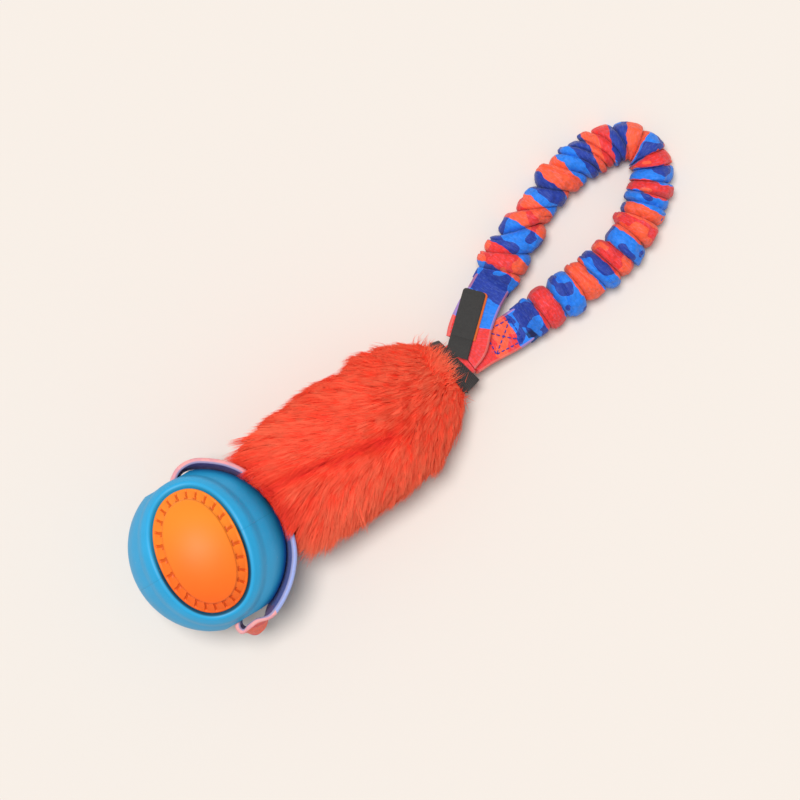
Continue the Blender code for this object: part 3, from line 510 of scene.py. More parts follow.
def tail_routes():
    """Middle lines of the left and the right tail, one over the other at the collar."""
    step = (TAIL_THICKNESS + GAP) / 2.0
    left = handle_route(LEFT_TAIL_ROUTE, HANDLE_HEIGHT + step, tube_radius(0.0) - TUBE_SINK, 2.0)
    right = handle_route(RIGHT_TAIL_ROUTE, HANDLE_HEIGHT - step, tube_radius(1.0) - TUBE_SINK, 0.6)
    return left, right


def straight_run(tail):
    """Stops of the hand loop's line, straight on from the end of a tail."""
    along = (tail[-1] - tail[-5]) * (1.0, 1.0, 0.0)
    along /= np.linalg.norm(along)
    end = tail[-1] * (1.0, 1.0, 0.0)
    return [end + along * reach for reach in (GAP * 1.5, TUBE_RADIUS, 2.0 * TUBE_RADIUS)]


def loop_route():
    """The hand loop's middle line, from the left tail round to the right one."""
    left, right = tail_routes()
    around = [np.array((HANDLE_ROOT_X + x, y, 0.0)) for x, y in LOOP_ROUTE]
    route = smooth_route(straight_run(left) + around + straight_run(right)[::-1], 16)
    share = lengths_of(route) / lengths_of(route)[-1]
    route[:, 2] = tube_radius(share) - TUBE_SINK
    return route


# Materials

class Finish:
    """A material whose nodes are added one by one."""

    def __init__(self, name):
        self.material = bpy.data.materials.new(name)
        self.material.use_nodes = True
        self.tree = self.material.node_tree
        self.shader = self.tree.nodes["Principled BSDF"]

    def add(self, kind, settings=None, **inputs):
        node = self.tree.nodes.new(kind)
        for key, value in (settings or {}).items():
            setattr(node, key, value)
        for key, value in inputs.items():
            self.feed(node, key.replace("_", " "), value)
        return node

    def feed(self, node, key, value):
        """Set or link one input, which goes by its name, or by the letter i and its number."""
        socket = node.inputs[int(key[1:])] if key[0] == "i" and key[1:].isdigit() else node.inputs[key]
        if isinstance(value, bpy.types.NodeSocket):
            self.tree.links.new(value, socket)
        elif isinstance(value, tuple) and len(value) == 3 and socket.type == "RGBA":
            socket.default_value = (*value, 1.0)
        else:
            socket.default_value = value

    def math(self, operation, a, b=0.0, clamp=False):
        node = self.add("ShaderNodeMath", {"operation": operation, "use_clamp": clamp}, i0=a, i1=b)
        return node.outputs[0]

    def plus(self, a, b):
        return self.math("ADD", a, b)

    def times(self, a, b, clamp=False):
        return self.math("MULTIPLY", a, b, clamp)

    def mix(self, share, a, b, blend="MIX"):
        node = self.add("ShaderNodeMix", {"data_type": "RGBA", "blend_type": blend})
        self.feed(node, "i0", share)
        self.feed(node, "i6", a)
        self.feed(node, "i7", b)
        return node.outputs[2]

    def place(self, table=None, shift=(0.0, 0.0, 0.0)):
        """Coordinates in millimetres: the piece's own, or one of its point tables."""
        if table:
            source = self.add("ShaderNodeAttribute", {"attribute_name": table}).outputs["Vector"]
        else:
            source = self.add("ShaderNodeTexCoord").outputs["Object"]
        node = self.add("ShaderNodeMapping", {"vector_type": "POINT"}, Vector=source)
        node.inputs["Location"].default_value = shift
        node.inputs["Scale"].default_value = (1.0 / MM,) * 3
        return node.outputs[0]

    def table(self, name):
        """A plain number from one of the piece's point tables."""
        return self.add("ShaderNodeAttribute", {"attribute_name": name}).outputs["Fac"]

    def from_ball(self, turn):
        """Three coordinates from the ball's middle, turned about the upright."""
        own = self.place(shift=tuple(-BALL_CENTRE))
        node = self.add("ShaderNodeVectorRotate", {"rotation_type": "Z_AXIS"}, Vector=own, Angle=turn)
        return self.split(node.outputs[0])

    def noise(self, vector, size, detail=2.0, rough=0.5):
        node = self.add("ShaderNodeTexNoise", Vector=vector, Scale=1.0 / size, Detail=detail, Roughness=rough)
        return node.outputs["Fac"]

    def stretch(self, vector, scale):
        return self.add("ShaderNodeVectorMath", {"operation": "MULTIPLY"}, i0=vector, i1=scale).outputs[0]

    def split(self, vector):
        return self.add("ShaderNodeSeparateXYZ", Vector=vector).outputs

    def ramp(self, value, stops, smooth=True):
        node = self.add("ShaderNodeValToRGB", i0=value)
        ramp = node.color_ramp
        ramp.interpolation = "LINEAR" if smooth else "CONSTANT"
        while len(ramp.elements) < len(stops):
            ramp.elements.new(1.0)
        for element, (place, colour) in zip(ramp.elements, stops):
            element.position = place
            element.color = (*colour, 1.0)
        return node.outputs["Color"]

    def bump(self, height, depth, strength):
        node = self.add("ShaderNodeBump", Height=height, Distance=depth * MM, Strength=strength)
        self.tree.links.new(node.outputs[0], self.shader.inputs["Normal"])

    def colour(self, value):
        self.feed(self.shader, "Base Color", value)

    def surface(self, **values):
        for key, value in values.items():
            self.feed(self.shader, key.replace("_", " "), value)
        return self.material


def grey(value):
    """A grey, as the shader wants it."""
    return (value, value, value)


def scaled(colour, factor):
    """A colour made darker or lighter by a factor."""
    return tuple(min(channel * factor, 1.0) for channel in colour)


def shell_rubber(settings):
    """Satin blue rubber, with a faint moulding line and painted shade round the edge of each window, where
    the pad sits.
    """
    finish = Finish("blue rubber")
    place = finish.place()
    soft = finish.noise(place, 22.0, 3.0)
    fine = finish.noise(place, 0.35, 2.0)
    base = tuple(settings.rubber)
    tint = finish.ramp(soft, ((0.30, scaled(base, 0.92)), (0.70, scaled(base, 1.06))))
    across = finish.math("ABSOLUTE", finish.from_ball(-BALL_TURN)[1])
    line = finish.ramp(across, ((0.10, grey(1.0)), (0.32, grey(0.0))))
    tint = finish.mix(finish.times(line, 0.22), tint, scaled(base, 0.55))
    # Painted shade in the gap between each window's edge and its pad
    tint = finish.mix(finish.times(finish.table("gap"), 0.8, True), tint, linear(10, 30, 48))
    specks = finish.ramp(finish.noise(place, 0.9, 1.0), ((0.74, grey(0.0)), (0.78, grey(1.0))))
    tint = finish.mix(finish.times(specks, 0.10), tint, grey(0.9))
    finish.colour(tint)
    rough = finish.plus(finish.times(soft, 0.18), 0.40)
    height = finish.math("SUBTRACT", finish.times(fine, 0.25), finish.times(line, 0.8))
    finish.bump(height, 0.12, 0.6)
    return finish.surface(Roughness=rough, Specular_IOR_Level=0.42)


def pad_rubber(settings):
    """Satin orange rubber, with painted shade that darkens the pads towards their far end and in the notches.
    """
    finish = Finish("orange rubber")
    place = finish.place()
    soft = finish.noise(place, 18.0, 3.0)
    # Painted shade: the pads grow darker towards their far end
    along = finish.times(finish.from_ball(PAD_SHADE_TURN)[1], 1.0 / PAD_SHADE_LENGTH)
    along = finish.plus(along, 0.5)
    along = finish.plus(along, finish.times(finish.math("SUBTRACT", soft, 0.5), 0.3))
    tint = finish.ramp(along, ((0.08, tuple(settings.pad_shaded)), (0.85, tuple(settings.pad))))
    # Painted shade in the notches and on the pads' sides down in the gap
    tint = finish.mix(finish.times(finish.table("notch"), 0.75, True), tint, linear(196, 70, 12))
    finish.colour(tint)
    fine = finish.noise(place, 0.4, 3.0)
    finish.bump(fine, 0.05, 0.5)
    rough = finish.plus(finish.times(soft, 0.15), 0.46)
    return finish.surface(Roughness=rough, Specular_IOR_Level=0.38)


def weave(finish, cloth, pitch):
    """Height of a plain weave, from the cloth's own coordinates."""
    s, t, u = finish.split(cloth)
    over = finish.math("SINE", finish.times(s, 2.0 * math.pi / pitch))
    under = finish.math("SINE", finish.times(finish.plus(t, u), 2.0 * math.pi / pitch))
    return finish.times(over, under)


def printed_cloth(settings, name, bands, partners, edge=None, wander=3.4, patch_size=6.5, inner=None,
                  folded=False):
    """Cloth printed in bands of (place along it, colour), each with patches in a partner colour.

    An edge is a distance from the middle and the colour of the painted highlight beyond it, inner is a
    painted shade colour for the face that is turned in, and a cloth with shaded folds takes painted shade in
    its valleys.
    """
    palette = {title: tuple(getattr(settings, title)) for title in ("blue", "navy", "orange", "red")}
    finish = Finish(name)
    cloth = finish.place("cloth")
    s, t, u = finish.split(cloth)
    length = bands[-1][0] + PRINT_ROOM
    broad = finish.noise(cloth, 9.0, 2.0, 0.55)
    small = finish.noise(cloth, 3.2, 2.0, 0.5)
    drift = finish.times(finish.math("SUBTRACT", broad, 0.5), wander * 4.0)
    drift = finish.plus(drift, finish.times(finish.math("SUBTRACT", small, 0.5), wander))
    along = finish.math("DIVIDE", finish.plus(finish.plus(s, drift), PRINT_LEAD), length)
    starts = [(place + PRINT_LEAD) / length for place, _ in bands]
    first = finish.ramp(along, [(start, palette[title]) for start, (_, title) in zip(starts, bands)], False)
    second = finish.ramp(along, [(start, palette[title]) for start, title in zip(starts, partners)], False)
    patch = finish.noise(finish.stretch(cloth, (0.9, 0.7, 0.7)), patch_size, 1.5, 0.5)
    patch = finish.ramp(patch, ((0.0, grey(0.0)), (0.545, grey(1.0))), False)
    tint = finish.mix(patch, first, second)
    # Painted shade: the face that is turned in takes the inner colour
    if inner:
        facing = finish.math("LESS_THAN", u, -0.4)
        tint = finish.mix(finish.times(facing, 0.85), tint, palette[inner])
    threads = finish.noise(finish.stretch(cloth, (2.2, 0.35, 0.35)), 0.9, 3.0, 0.65)
    light = finish.ramp(threads, ((0.50, grey(0.0)), (0.72, grey(1.0))))
    tint = finish.mix(finish.times(light, 0.16), tint, linear(150, 185, 240))
    dark = finish.ramp(finish.noise(cloth, 1.3, 3.0), ((0.30, grey(0.80)), (0.62, grey(1.06))))
    tint = finish.mix(1.0, tint, dark, "MULTIPLY")
    # Painted shade in the valleys between the folds
    if folded:
        deep = finish.ramp(finish.table("fold"), ((0.0, grey(0.22)), (0.45, grey(0.9)), (0.8, grey(1.0))))
        tint = finish.mix(1.0, tint, deep, "MULTIPLY")
    # Painted highlight along the cloth's edges
    if edge:
        reach, colour = edge
        rim = finish.math("GREATER_THAN", finish.math("ABSOLUTE", t), reach)
        tint = finish.mix(finish.times(rim, 0.42), tint, colour)
    finish.colour(tint)
    height = finish.plus(weave(finish, cloth, 0.7), finish.times(threads, 1.5))
    finish.bump(height, 0.07, 0.55)
    return finish.surface(Roughness=0.62, Specular_IOR_Level=0.35, Sheen_Weight=0.12, Sheen_Roughness=0.5)


def plain_webbing(name, colour, light):
    """Woven webbing in one colour, lighter on its ribs."""
    finish = Finish(name)
    cloth = finish.place("cloth")
    ribs = weave(finish, cloth, 1.1)
    fuzz = finish.noise(cloth, 0.6, 3.0, 0.6)
    share = finish.times(finish.plus(ribs, 1.0), 0.5)
    tint = finish.mix(finish.times(share, fuzz), colour, light)
    finish.colour(tint)
    finish.bump(finish.plus(ribs, fuzz), 0.18, 0.8)
    return finish.surface(Roughness=0.78, Specular_IOR_Level=0.3, Sheen_Weight=0.1)


def thread(name, colour):
    """Twisted sewing thread in one colour."""
    finish = Finish(name)
    place = finish.place()
    twist = finish.noise(finish.stretch(place, (3.0, 3.0, 1.0)), 0.5, 2.0)
    finish.colour(finish.ramp(twist, ((0.3, scaled(colour, 0.7)), (0.7, scaled(colour, 1.6)))))
    finish.bump(twist, 0.1, 0.7)
    return finish.surface(Roughness=0.55, Specular_IOR_Level=0.4)


def pile(settings):
    """Matt strands, coloured by their tone from root to tip, with painted shade at the roots and a painted
    highlight at the tips.
    """
    finish = Finish("coral fur")
    root, middle, tip = (tuple(getattr(settings, title)) for title in ("root", "middle", "tip"))
    # Dark roots as painted shade, light tips as a painted highlight
    stops = ((0.0, root), (0.3, linear(243, 50, 40)), (0.6, middle), (1.0, tip))
    finish.colour(finish.ramp(finish.table("tone"), stops))
    streak = finish.noise(finish.place(), 0.8, 2.0)
    rough = finish.plus(finish.times(streak, 0.2), 0.55)
    return finish.surface(Roughness=rough, Specular_IOR_Level=0.15)


def backing_cloth(settings):
    """Knitted cloth in the dark colour of the roots, painted shade where it shows between the strands."""
    finish = Finish("fur backing")
    place = finish.place()
    knit = finish.noise(place, 1.2, 3.0)
    root = tuple(settings.root)
    finish.colour(finish.ramp(knit, ((0.3, scaled(root, 0.7)), (0.7, scaled(root, 1.25)))))
    finish.bump(knit, 0.3, 0.8)
    return finish.surface(Roughness=0.9, Specular_IOR_Level=0.2)


def loose_fibre():
    """White wadding."""
    finish = Finish("white fibre")
    place = finish.place()
    curl = finish.noise(place, 2.4, 5.0, 0.7)
    finish.colour(finish.ramp(curl, ((0.3, linear(205, 203, 198)), (0.7, linear(242, 241, 238)))))
    finish.bump(curl, 1.2, 0.9)
    return finish.surface(Roughness=0.95, Specular_IOR_Level=0.15)


def elastic_cover():
    """The braided white cover of an elastic cord."""
    finish = Finish("white elastic")
    cloth = finish.place("cloth")
    braid = weave(finish, cloth, 1.6)
    fuzz = finish.noise(cloth, 0.8, 2.0)
    finish.colour(finish.ramp(fuzz, ((0.3, linear(205, 205, 206)), (0.7, linear(238, 238, 238)))))
    finish.bump(finish.plus(braid, fuzz), 0.25, 0.8)
    return finish.surface(Roughness=0.75, Specular_IOR_Level=0.3)


def label_cloth(name, colour, light):
    """Smooth twill in one colour."""
    finish = Finish(name)
    cloth = finish.place("cloth")
    along, across, _ = finish.split(cloth)
    twill = finish.math("SINE", finish.times(finish.plus(along, across), 11.0))
    fuzz = finish.noise(cloth, 0.7, 3.0)
    tint = finish.mix(finish.times(fuzz, 0.6), colour, light)
    finish.colour(tint)
    finish.bump(finish.plus(twill, fuzz), 0.06, 0.7)
    return finish.surface(Roughness=0.6, Specular_IOR_Level=0.35)


# Ball

def window_edge(share, inset, shrink=1.0):
    """Bearings and polar angles of points at an inset from the window's oval."""
    angle = 2.0 * math.pi * share
    along = math.pi / 2.0 + WINDOW_TURN
    c, s = np.cos(angle), np.sin(angle)
    u = (WINDOW_HALF_LENGTH - inset) * shrink * squared(c, 2.0 / WINDOW_POWER)
    v = (WINDOW_HALF_WIDTH - inset) * shrink * squared(s, 2.0 / WINDOW_POWER)
    x = (WINDOW_SHIFT[0] + u * math.cos(along) - v * math.sin(along)) / BALL_RADIUS
    y = (WINDOW_SHIFT[1] + u * math.sin(along) + v * math.cos(along)) / BALL_HALF_LENGTH
    return np.arctan2(y, x), np.arcsin(np.minimum(np.hypot(x, y), 1.0))


def ball_points(bearing, polar, depth, flip=1.0):
    """Points at a depth under the ball's surface, placed where the ball lies."""
    across = BALL_RADIUS - depth
    x = across * np.sin(polar) * np.cos(bearing)
    y = (BALL_HALF_LENGTH - depth) * np.sin(polar) * np.sin(bearing)
    z = flip * across * np.cos(polar)
    c, s = math.cos(BALL_TURN), math.sin(BALL_TURN)
    return np.stack([x * c - y * s, x * s + y * c, z], -1) + BALL_CENTRE


def rim_lift(distance, height):
    """The shell's swollen rim, its soft step down and the level beyond it."""
    width, top = RIM_STOPS[0]
    lift = RIM_FOOT + (top - RIM_FOOT) * np.sqrt(1.0 - (1.0 - climb(distance, 0.0, width)) ** 2)
    for (start, low), (end, high) in zip(RIM_STOPS, RIM_STOPS[1:]):
        share = climb(distance, start, end - start)
        lift = np.where(distance > start, low + (high - low) * eased(share), lift)
    return height * lift


def make_shell(settings):
    """The blue shell: a wall with two windows, a swollen rim round each, and the strap's channel."""
    columns, rows_out, rows_in = 288, 84, 9
    edge_depths = (1.4, 2.6)
    share = np.arange(columns) / columns
    bearing, edge = window_edge(share, 0.0)
    sweep = math.pi / 2.0 - edge
    height = settings.rim / MM
    upper = []
    for k in range(rows_out + 1):
        polar = edge + sweep * (k / rows_out) ** 1.7
        upper.append((polar, -rim_lift((polar - edge) * BALL_RADIUS, height)))
    rows = [ball_points(bearing, polar, depth) for polar, depth in upper]
    rows += [ball_points(bearing, polar, depth, -1.0) for polar, depth in upper[-2::-1]]
    inner = [edge + sweep * k / rows_in for k in range(rows_in + 1)]
    rows += [ball_points(bearing, edge, depth, -1.0) for depth in edge_depths]
    rows += [ball_points(bearing, polar, SHELL_WALL, -1.0) for polar in inner]
    rows += [ball_points(bearing, polar, SHELL_WALL) for polar in inner[-2::-1]]
    rows += [ball_points(bearing, edge, depth) for depth in edge_depths[::-1]]
    # Shade in the gap round a pad, faint at the window's left end
    shade = 1.0 - 0.85 * np.clip(1.3 * np.sin(bearing), 0.0, 1.0)
    gap = [shade * np.clip(1.0 - (polar - edge) * BALL_RADIUS / SEAM_SHADE, 0.0, 1.0)
           for polar, _ in upper]
    gap += gap[-2::-1]
    gap += [shade] * 2 + [np.zeros(columns)] * (2 * rows_in + 1) + [shade] * 2
    rows = np.array(rows)
    rows[..., 2] = np.maximum(rows[..., 2], 0.0)
    shell = new_piece("shell_ball", rows.reshape(-1, 3), grid_quads(len(rows), columns, True),
                      tables={"gap": np.array(gap).ravel()})
    turn_faces_out(shell)
    apply_cut(shell, channel_tool())
    shell.data.set_sharp_from_angle(angle=math.radians(50.0))
    return shell


def channel_tool():
    """The strap's channel through the ball, with a rounded mouth at each end."""
    deselect()
    steps, columns = 12, 96
    half = [(CHANNEL_STRAIGHT, CHANNEL_RADIUS)]
    for k in range(steps + 1):
        angle = math.pi / 2.0 * k / steps
        half.append((MOUTH_PLACE + MOUTH_ROUNDING * math.sin(angle),
                     CHANNEL_RADIUS + MOUTH_ROUNDING * (1.0 - math.cos(angle))))
    half.append((CHANNEL_END, CHANNEL_RADIUS + MOUTH_ROUNDING))
    stations = [(-y, radius) for y, radius in reversed(half)] + half
    angle = 2.0 * math.pi * np.arange(columns) / columns
    c, s = math.cos(BALL_TURN), math.sin(BALL_TURN)
    rows = []
    for y, radius in stations:
        x = radius * np.cos(angle)
        rows.append(np.stack([x * c - y * s, x * s + y * c, radius * np.sin(angle)], -1) + BALL_CENTRE)
    return closed_rows("channel tool", rows)


def notch_profile(turn, inset, depth):
    """Depth of the moulded notches: a groove, its hook and the slope up to the next one, and the share of
    painted shade there.
    """
    f = turn * NOTCH_COUNT % 1.0
    ring = climb(inset, NOTCH_START, 0.35) * climb(inset, NOTCH_END, -0.35)
    groove = climb(np.abs(f - 0.12), 0.115, -0.05) * ring
    foot = climb(inset, 3.1, 0.3) * climb(inset, NOTCH_END + 0.05, -0.3)
    hook = climb(f, 0.40, -0.06) * foot
    slope = climb(f, 1.0, -0.8) * np.where(f > 0.2, 1.0, 0.0) * ring
    low = np.maximum(groove, hook)
    return depth * np.maximum(low, 0.42 * slope), np.maximum(low, 0.25 * slope)


def make_core(settings):
    """The orange core: a pad above and below with a ring of notches, a hollow, and the strap's channel."""
    columns, rows_under = 520, 8
    share = np.arange(columns) / columns
    insets = [0.0, 0.12, 0.35] + list(np.arange(0.55, 5.9, 0.2))
    stops = [(insets[-1], shrink) for shrink in (0.03, 0.12, 0.24, 0.37, 0.5, 0.62, 0.74, 0.85, 0.94)]
    rows, marks = [], []
    for inset, shrink in stops + [(inset, 1.0) for inset in reversed(insets)]:
        bearing, polar = window_edge(share, PAD_SIDE_GAP + inset, shrink)
        field = eased(climb(inset, PAD_RING_WIDTH, 1.0))
        depth = PAD_RING_DEPTH + (PAD_FIELD_DEPTH - PAD_RING_DEPTH) * field
        depth += 0.5 * (1.0 - min(inset / 0.35, 1.0)) ** 2
        low, notch_shade = notch_profile(share, inset, settings.notch / MM)
        rows.append((bearing, polar, depth + low))
        marks.append(notch_shade)
    bearing, edge = window_edge(share, PAD_SIDE_GAP)
    under = SHELL_WALL + GAP
    # The pad's sides down in the gap take full painted shade
    for deep in (2.4, under):
        rows.append((bearing, edge, np.full(columns, deep)))
        marks.append(np.ones(columns))
    for k in range(1, rows_under + 1):
        polar = edge + (math.pi / 2.0 - edge) * k / rows_under
        rows.append((bearing, polar, np.full(columns, under)))
        marks.append(np.zeros(columns))
    places = [ball_points(*row) for row in rows] + [ball_points(*row, -1.0) for row in rows[-2::-1]]
    places = np.array(places)
    places[..., 2] = np.maximum(places[..., 2], 0.0)
    core = closed_rows("core_ball", places, {"notch": np.array(marks + marks[-2::-1])})
    deselect()
    bpy.ops.mesh.primitive_uv_sphere_add(segments=64, ring_count=32, radius=1.0)
    hollow = bpy.context.active_object
    inside = SHELL_WALL + GAP + CORE_WALL
    hollow.scale = Vector((BALL_RADIUS - inside, BALL_HALF_LENGTH - inside, BALL_RADIUS - inside)) * MM
    hollow.rotation_euler = (0.0, 0.0, BALL_TURN)
    hollow.location = Vector(BALL_CENTRE) * MM
    bpy.ops.object.transform_apply(location=True, rotation=True, scale=True)
    apply_cut(core, hollow)
    apply_cut(core, channel_tool())
    core.data.set_sharp_from_angle(angle=math.radians(60.0))
    return core


# Webbing

def flat_profile(half_width, half_thickness, across=20, bead=0.0):
    """The section of a flat strap with round edges, which a bead can swell."""
    points = []
    inner = half_width - half_thickness
    for side in (1.0, -1.0):
        for k in range(across + 1):
            points.append((side * inner * (1.0 - 2.0 * k / across), side * half_thickness))
        for k in range(1, 8):
            angle = math.pi * k / 8
            points.append((side * (-inner - half_thickness * math.sin(angle)),
                           side * half_thickness * math.cos(angle)))
    points = np.array(points)
    swell = np.exp(-((np.abs(points[:, 0]) - inner) / 0.7) ** 2) * bead
    points[:, 1] *= 1.0 + swell
    return points


def strap_piece(name, route, sides, width, thickness, bead=0.0, spread=0.0):
    """A strap along a route, its left side spread, with a cloth table: along, across and through."""
    profile = flat_profile(width / 2.0, thickness / 2.0, bead=bead)
    along = directions(route)
    sides = sides / np.linalg.norm(sides, axis=1)[:, None]
    faces = np.cross(along, sides)
    faces /= np.linalg.norm(faces, axis=1)[:, None]
    left = np.clip(profile[:, 0] / (width / 2.0), 0.0, 1.0)
    across = profile[None, :, 0] + (spread + np.zeros(len(route)))[:, None] * left[None]
    rows = route[:, None] + sides[:, None] * across[..., None] + faces[:, None] * profile[None, :, 1:]
    cloth = np.zeros(rows.shape)
    cloth[..., 0] = lengths_of(route)[:, None]
    cloth[..., 1] = profile[None, :, 0]
    cloth[..., 2] = profile[None, :, 1]
    return closed_rows(name, rows, {"cloth": cloth * MM}, 60.0)


def strap_stops():
    """Stops of the strap's line: along the ball's left side, through the channel and back on its right."""
    def stop(degrees, height):
        bearing = math.radians(degrees)
        turned = bearing - BALL_TURN
        reach = 1.0 / math.hypot(math.cos(turned) / BALL_RADIUS, math.sin(turned) / BALL_HALF_LENGTH) + height
        return BALL_CENTRE + np.array((math.cos(bearing), math.sin(bearing), 0.0)) * reach
    channel = np.array((-math.sin(BALL_TURN), math.cos(BALL_TURN), 0.0))
    stops = [stop(*place) for place in STRAP_LEFT]
    stops += [BALL_CENTRE + channel * place for place in CHANNEL_STOPS]
    return stops + [stop(*place) for place in reversed(STRAP_RIGHT)]


def strap_lean(route):
    """Directions across the strap's width: it leans away from the ball at the sides."""
    away = route - BALL_CENTRE
    bearing = np.degrees(np.arctan2(away[:, 1], away[:, 0]))
    reach = np.hypot(away[:, 0], away[:, 1])
    lean = np.interp(bearing, [place for place, _ in STRAP_LEAN], [value for _, value in STRAP_LEAN])
    lean = np.radians(lean) * climb(reach, BALL_RADIUS - 2.0, 3.0)
    lean = smoothed(lean, np.ones(9))
    out = away * (1.0, 1.0, 0.0) / np.maximum(reach, 1.0)[:, None]
    return UP * np.cos(lean)[:, None] + out * np.sin(lean)[:, None]


def stitches(name, ends, normals, width, lift):
    """Separate stitches of thread, each from one hole to the next over the cloth."""
    steps, sides = 5, 6
    points, quads, tris = [], [], []
    for (start, end), normal in zip(ends, normals):
        along = (end - start) / np.linalg.norm(end - start)
        side = np.cross(normal, along)
        base = len(points)
        for k in range(steps):
            t = k / (steps - 1)
            arch = math.sin(math.pi * t)
            middle = start + (end - start) * t + normal * (lift * arch - 0.12 * (1.0 - arch))
            radius = width / 2.0 * (0.55 + 0.45 * arch)
            for i in range(sides):
                angle = 2.0 * math.pi * i / sides
                points.append(middle + (side * math.cos(angle) + normal * math.sin(angle)) * radius)
        for face in grid_quads(steps, sides):
            quads.append(face + base)
        for first in (0, (steps - 1) * sides):
            for i in range(1, sides - 1):
                tris.append((base + first, base + first + i, base + first + i + 1))
    obj = new_piece(name, points, quads, tris)
    turn_faces_out(obj)
    return obj


def seam(points, pitch, cover=0.72):
    """Ends of the stitches along a line of points."""
    route = np.asarray(points, float)
    total = lengths_of(route)[-1]
    count = max(int(round(total / pitch)), 1)
    marks = read_route(route, np.linspace(0.0, total, count + 1))
    ends = []
    for a, b in zip(marks, marks[1:]):
        slack = (b - a) * (1.0 - cover) / 2.0
        ends.append((a + slack, b - slack))
    return ends


def make_neck():
    """The strap's two ends sewn together before the fur, with a round side at the hinge."""
    columns = 64
    half = NECK_THICKNESS / 2.0
    turn = np.linspace(0.0, 2.0 * math.pi, columns, endpoint=False)
    front, rear = HINGE_X - NECK_LENGTH, HINGE_X
    middle = (front + rear) / 2.0
    x = np.where(np.cos(turn) > 0.0, rear + half * np.cos(turn), front + 0.7 + 0.7 * np.cos(turn))
    y = half * squared(np.sin(turn), 0.8)
    heights = np.concatenate([[-8.0, -7.8, -7.3], np.linspace(-6.4, 6.4, 22), [7.3, 7.8, 8.0]])
    shares = np.concatenate([[0.72, 0.9, 0.98], np.ones(22), [0.98, 0.9, 0.72]])
    rows, cloth = [], []
    for height, share in zip(heights, shares):
        level = np.full(columns, height)
        drawn_in = middle + (x - middle) * (0.5 + 0.5 * share)
        rows.append(np.stack([drawn_in, y * share, BALL_CENTRE[2] + level], -1))
        cloth.append(np.stack([x - front, level, y], -1))
    return closed_rows("neck_sewn", rows, {"cloth": np.array(cloth) * MM})


def make_neck_tack():
    """A zigzag of thread on the neck's left side."""
    count, pitch, half_width = 9, 1.33, 0.7
    middle = HINGE_X - NECK_LENGTH * 0.5
    y = NECK_THICKNESS / 2.0 + 0.15
    ends = []
    for k in range(count):
        low = BALL_CENTRE[2] - 6.0 + 12.0 * k / count
        start = np.array((middle - half_width, y, low))
        turn = np.array((middle + half_width, y, low + 0.7))
        end = np.array((middle - half_width, y, low + pitch))
        ends += [(start, turn), (turn, end)]
    return stitches("neck_tack", ends, [np.array((0.0, 1.0, 0.0))] * len(ends), 0.45, 0.2)


# Fur

def line_of_parting(x):
    """How far to the left the parting lies at places along the toy."""
    return np.interp(x, [stop[0] for stop in PARTING], [stop[1] for stop in PARTING])


def tuft_depth(x, angle, z):
    """How far the coat lies under its envelope: high and low places in turn, as on the solid."""
    ring = TUFT_FIRST_RING + (x - TUFT_START_X) / (TUFT_END_X - TUFT_START_X) * TUFT_RINGS
    side = angle / (2.0 * math.pi) * TUFT_SIDES
    wave = 0.5 + 0.5 * np.cos(math.pi * side) * np.cos(math.pi * ring)
    fade = np.minimum(np.minimum(x - TUFT_START_X, TUFT_END_X - x) / TUFT_FADE, (z - 1.0) / TUFT_RISE)
    return TUFT_HEIGHT * wave * np.clip(fade, 0.0, 1.0)


def fur_sections(x):
    """Sideways shift, height of the middle, half width and half height of the fur at places along it."""
    table = np.array(FUR_STATIONS)
    return [np.interp(x, table[:, 0], table[:, k]) for k in range(1, 5)]


def fur_form(x, angle, inset):
    """Points under the fur's surface: angle 0 is the toy's left side and a quarter turn is its top."""
    shift, middle, half_width, half_height = fur_sections(x)
    near = climb(x, SKIN_NOSE_X + SKIN_ROUNDING, -SKIN_ROUNDING)
    close = np.sqrt(np.maximum(1.0 - near ** 2.6, 0.0))
    y = squared(np.cos(angle), 2.0 / FUR_POWER) * (half_width - inset) * close
    z = squared(np.sin(angle), 2.0 / FUR_POWER) * (half_height - inset) * close
    return np.stack([x, shift + y, middle + z], -1)


def skin_inset(x, angle):
    """How far the backing cloth lies under the pile's surface: less near the collar."""
    inset = np.interp(x, (-38.0, 26.0, 40.0, 46.0), (4.6, 4.6, 1.7, 0.9))
    dent = 1.9 * np.exp(-((x - 9.0) / 9.0) ** 2) * np.clip(np.cos(angle), 0.0, 1.0) ** 2
    return inset + dent


def skin_points(x, angle):
    """Points on the backing cloth, lower along the parting and under the low places of the coat."""
    points = fur_form(x, angle, skin_inset(x, angle))
    top = np.clip(np.sin(angle), 0.0, 1.0)
    reach = np.interp(x, (-40.0, -30.0, 8.0, 22.0), (0.6, 1.0, 1.0, 0.0))
    away = points[..., 1] - line_of_parting(x)
    points[..., 2] -= 1.2 * np.exp(-(away / 3.4) ** 2) * top * reach
    points[..., 2] += 0.5 * noise_field(points, 21.0, 5) * top
    return points


def make_skin():
    """The backing cloth: a sleeve with a wall, open round the webbing at both ends."""
    rows, columns, lowest = 100, 96, 3.0
    xs = SKIN_START_X + (SKIN_END_X - SKIN_START_X) * (np.linspace(0.0, 1.0, rows) ** 1.35)
    angle = 2.0 * math.pi * np.arange(columns) / columns
    outer = skin_points(*np.meshgrid(xs, angle, indexing="ij"))
    outer[..., 2] = np.maximum(outer[..., 2], lowest)
    middle = outer.mean(1, keepdims=True)
    reach = np.linalg.norm(outer - middle, axis=-1, keepdims=True)
    inner = middle + (outer - middle) * (1.0 - SKIN_WALL / reach)
    inner[..., 0] += np.interp(xs, (SKIN_START_X, -30.0), (SKIN_WALL, 0.0))[:, None]
    points = np.concatenate([outer, inner[::-1]]).reshape(-1, 3)
    skin = new_piece("fur_skin", points, grid_quads(2 * rows, columns, True), sharp=60.0)
    turn_faces_out(skin)
    return skin


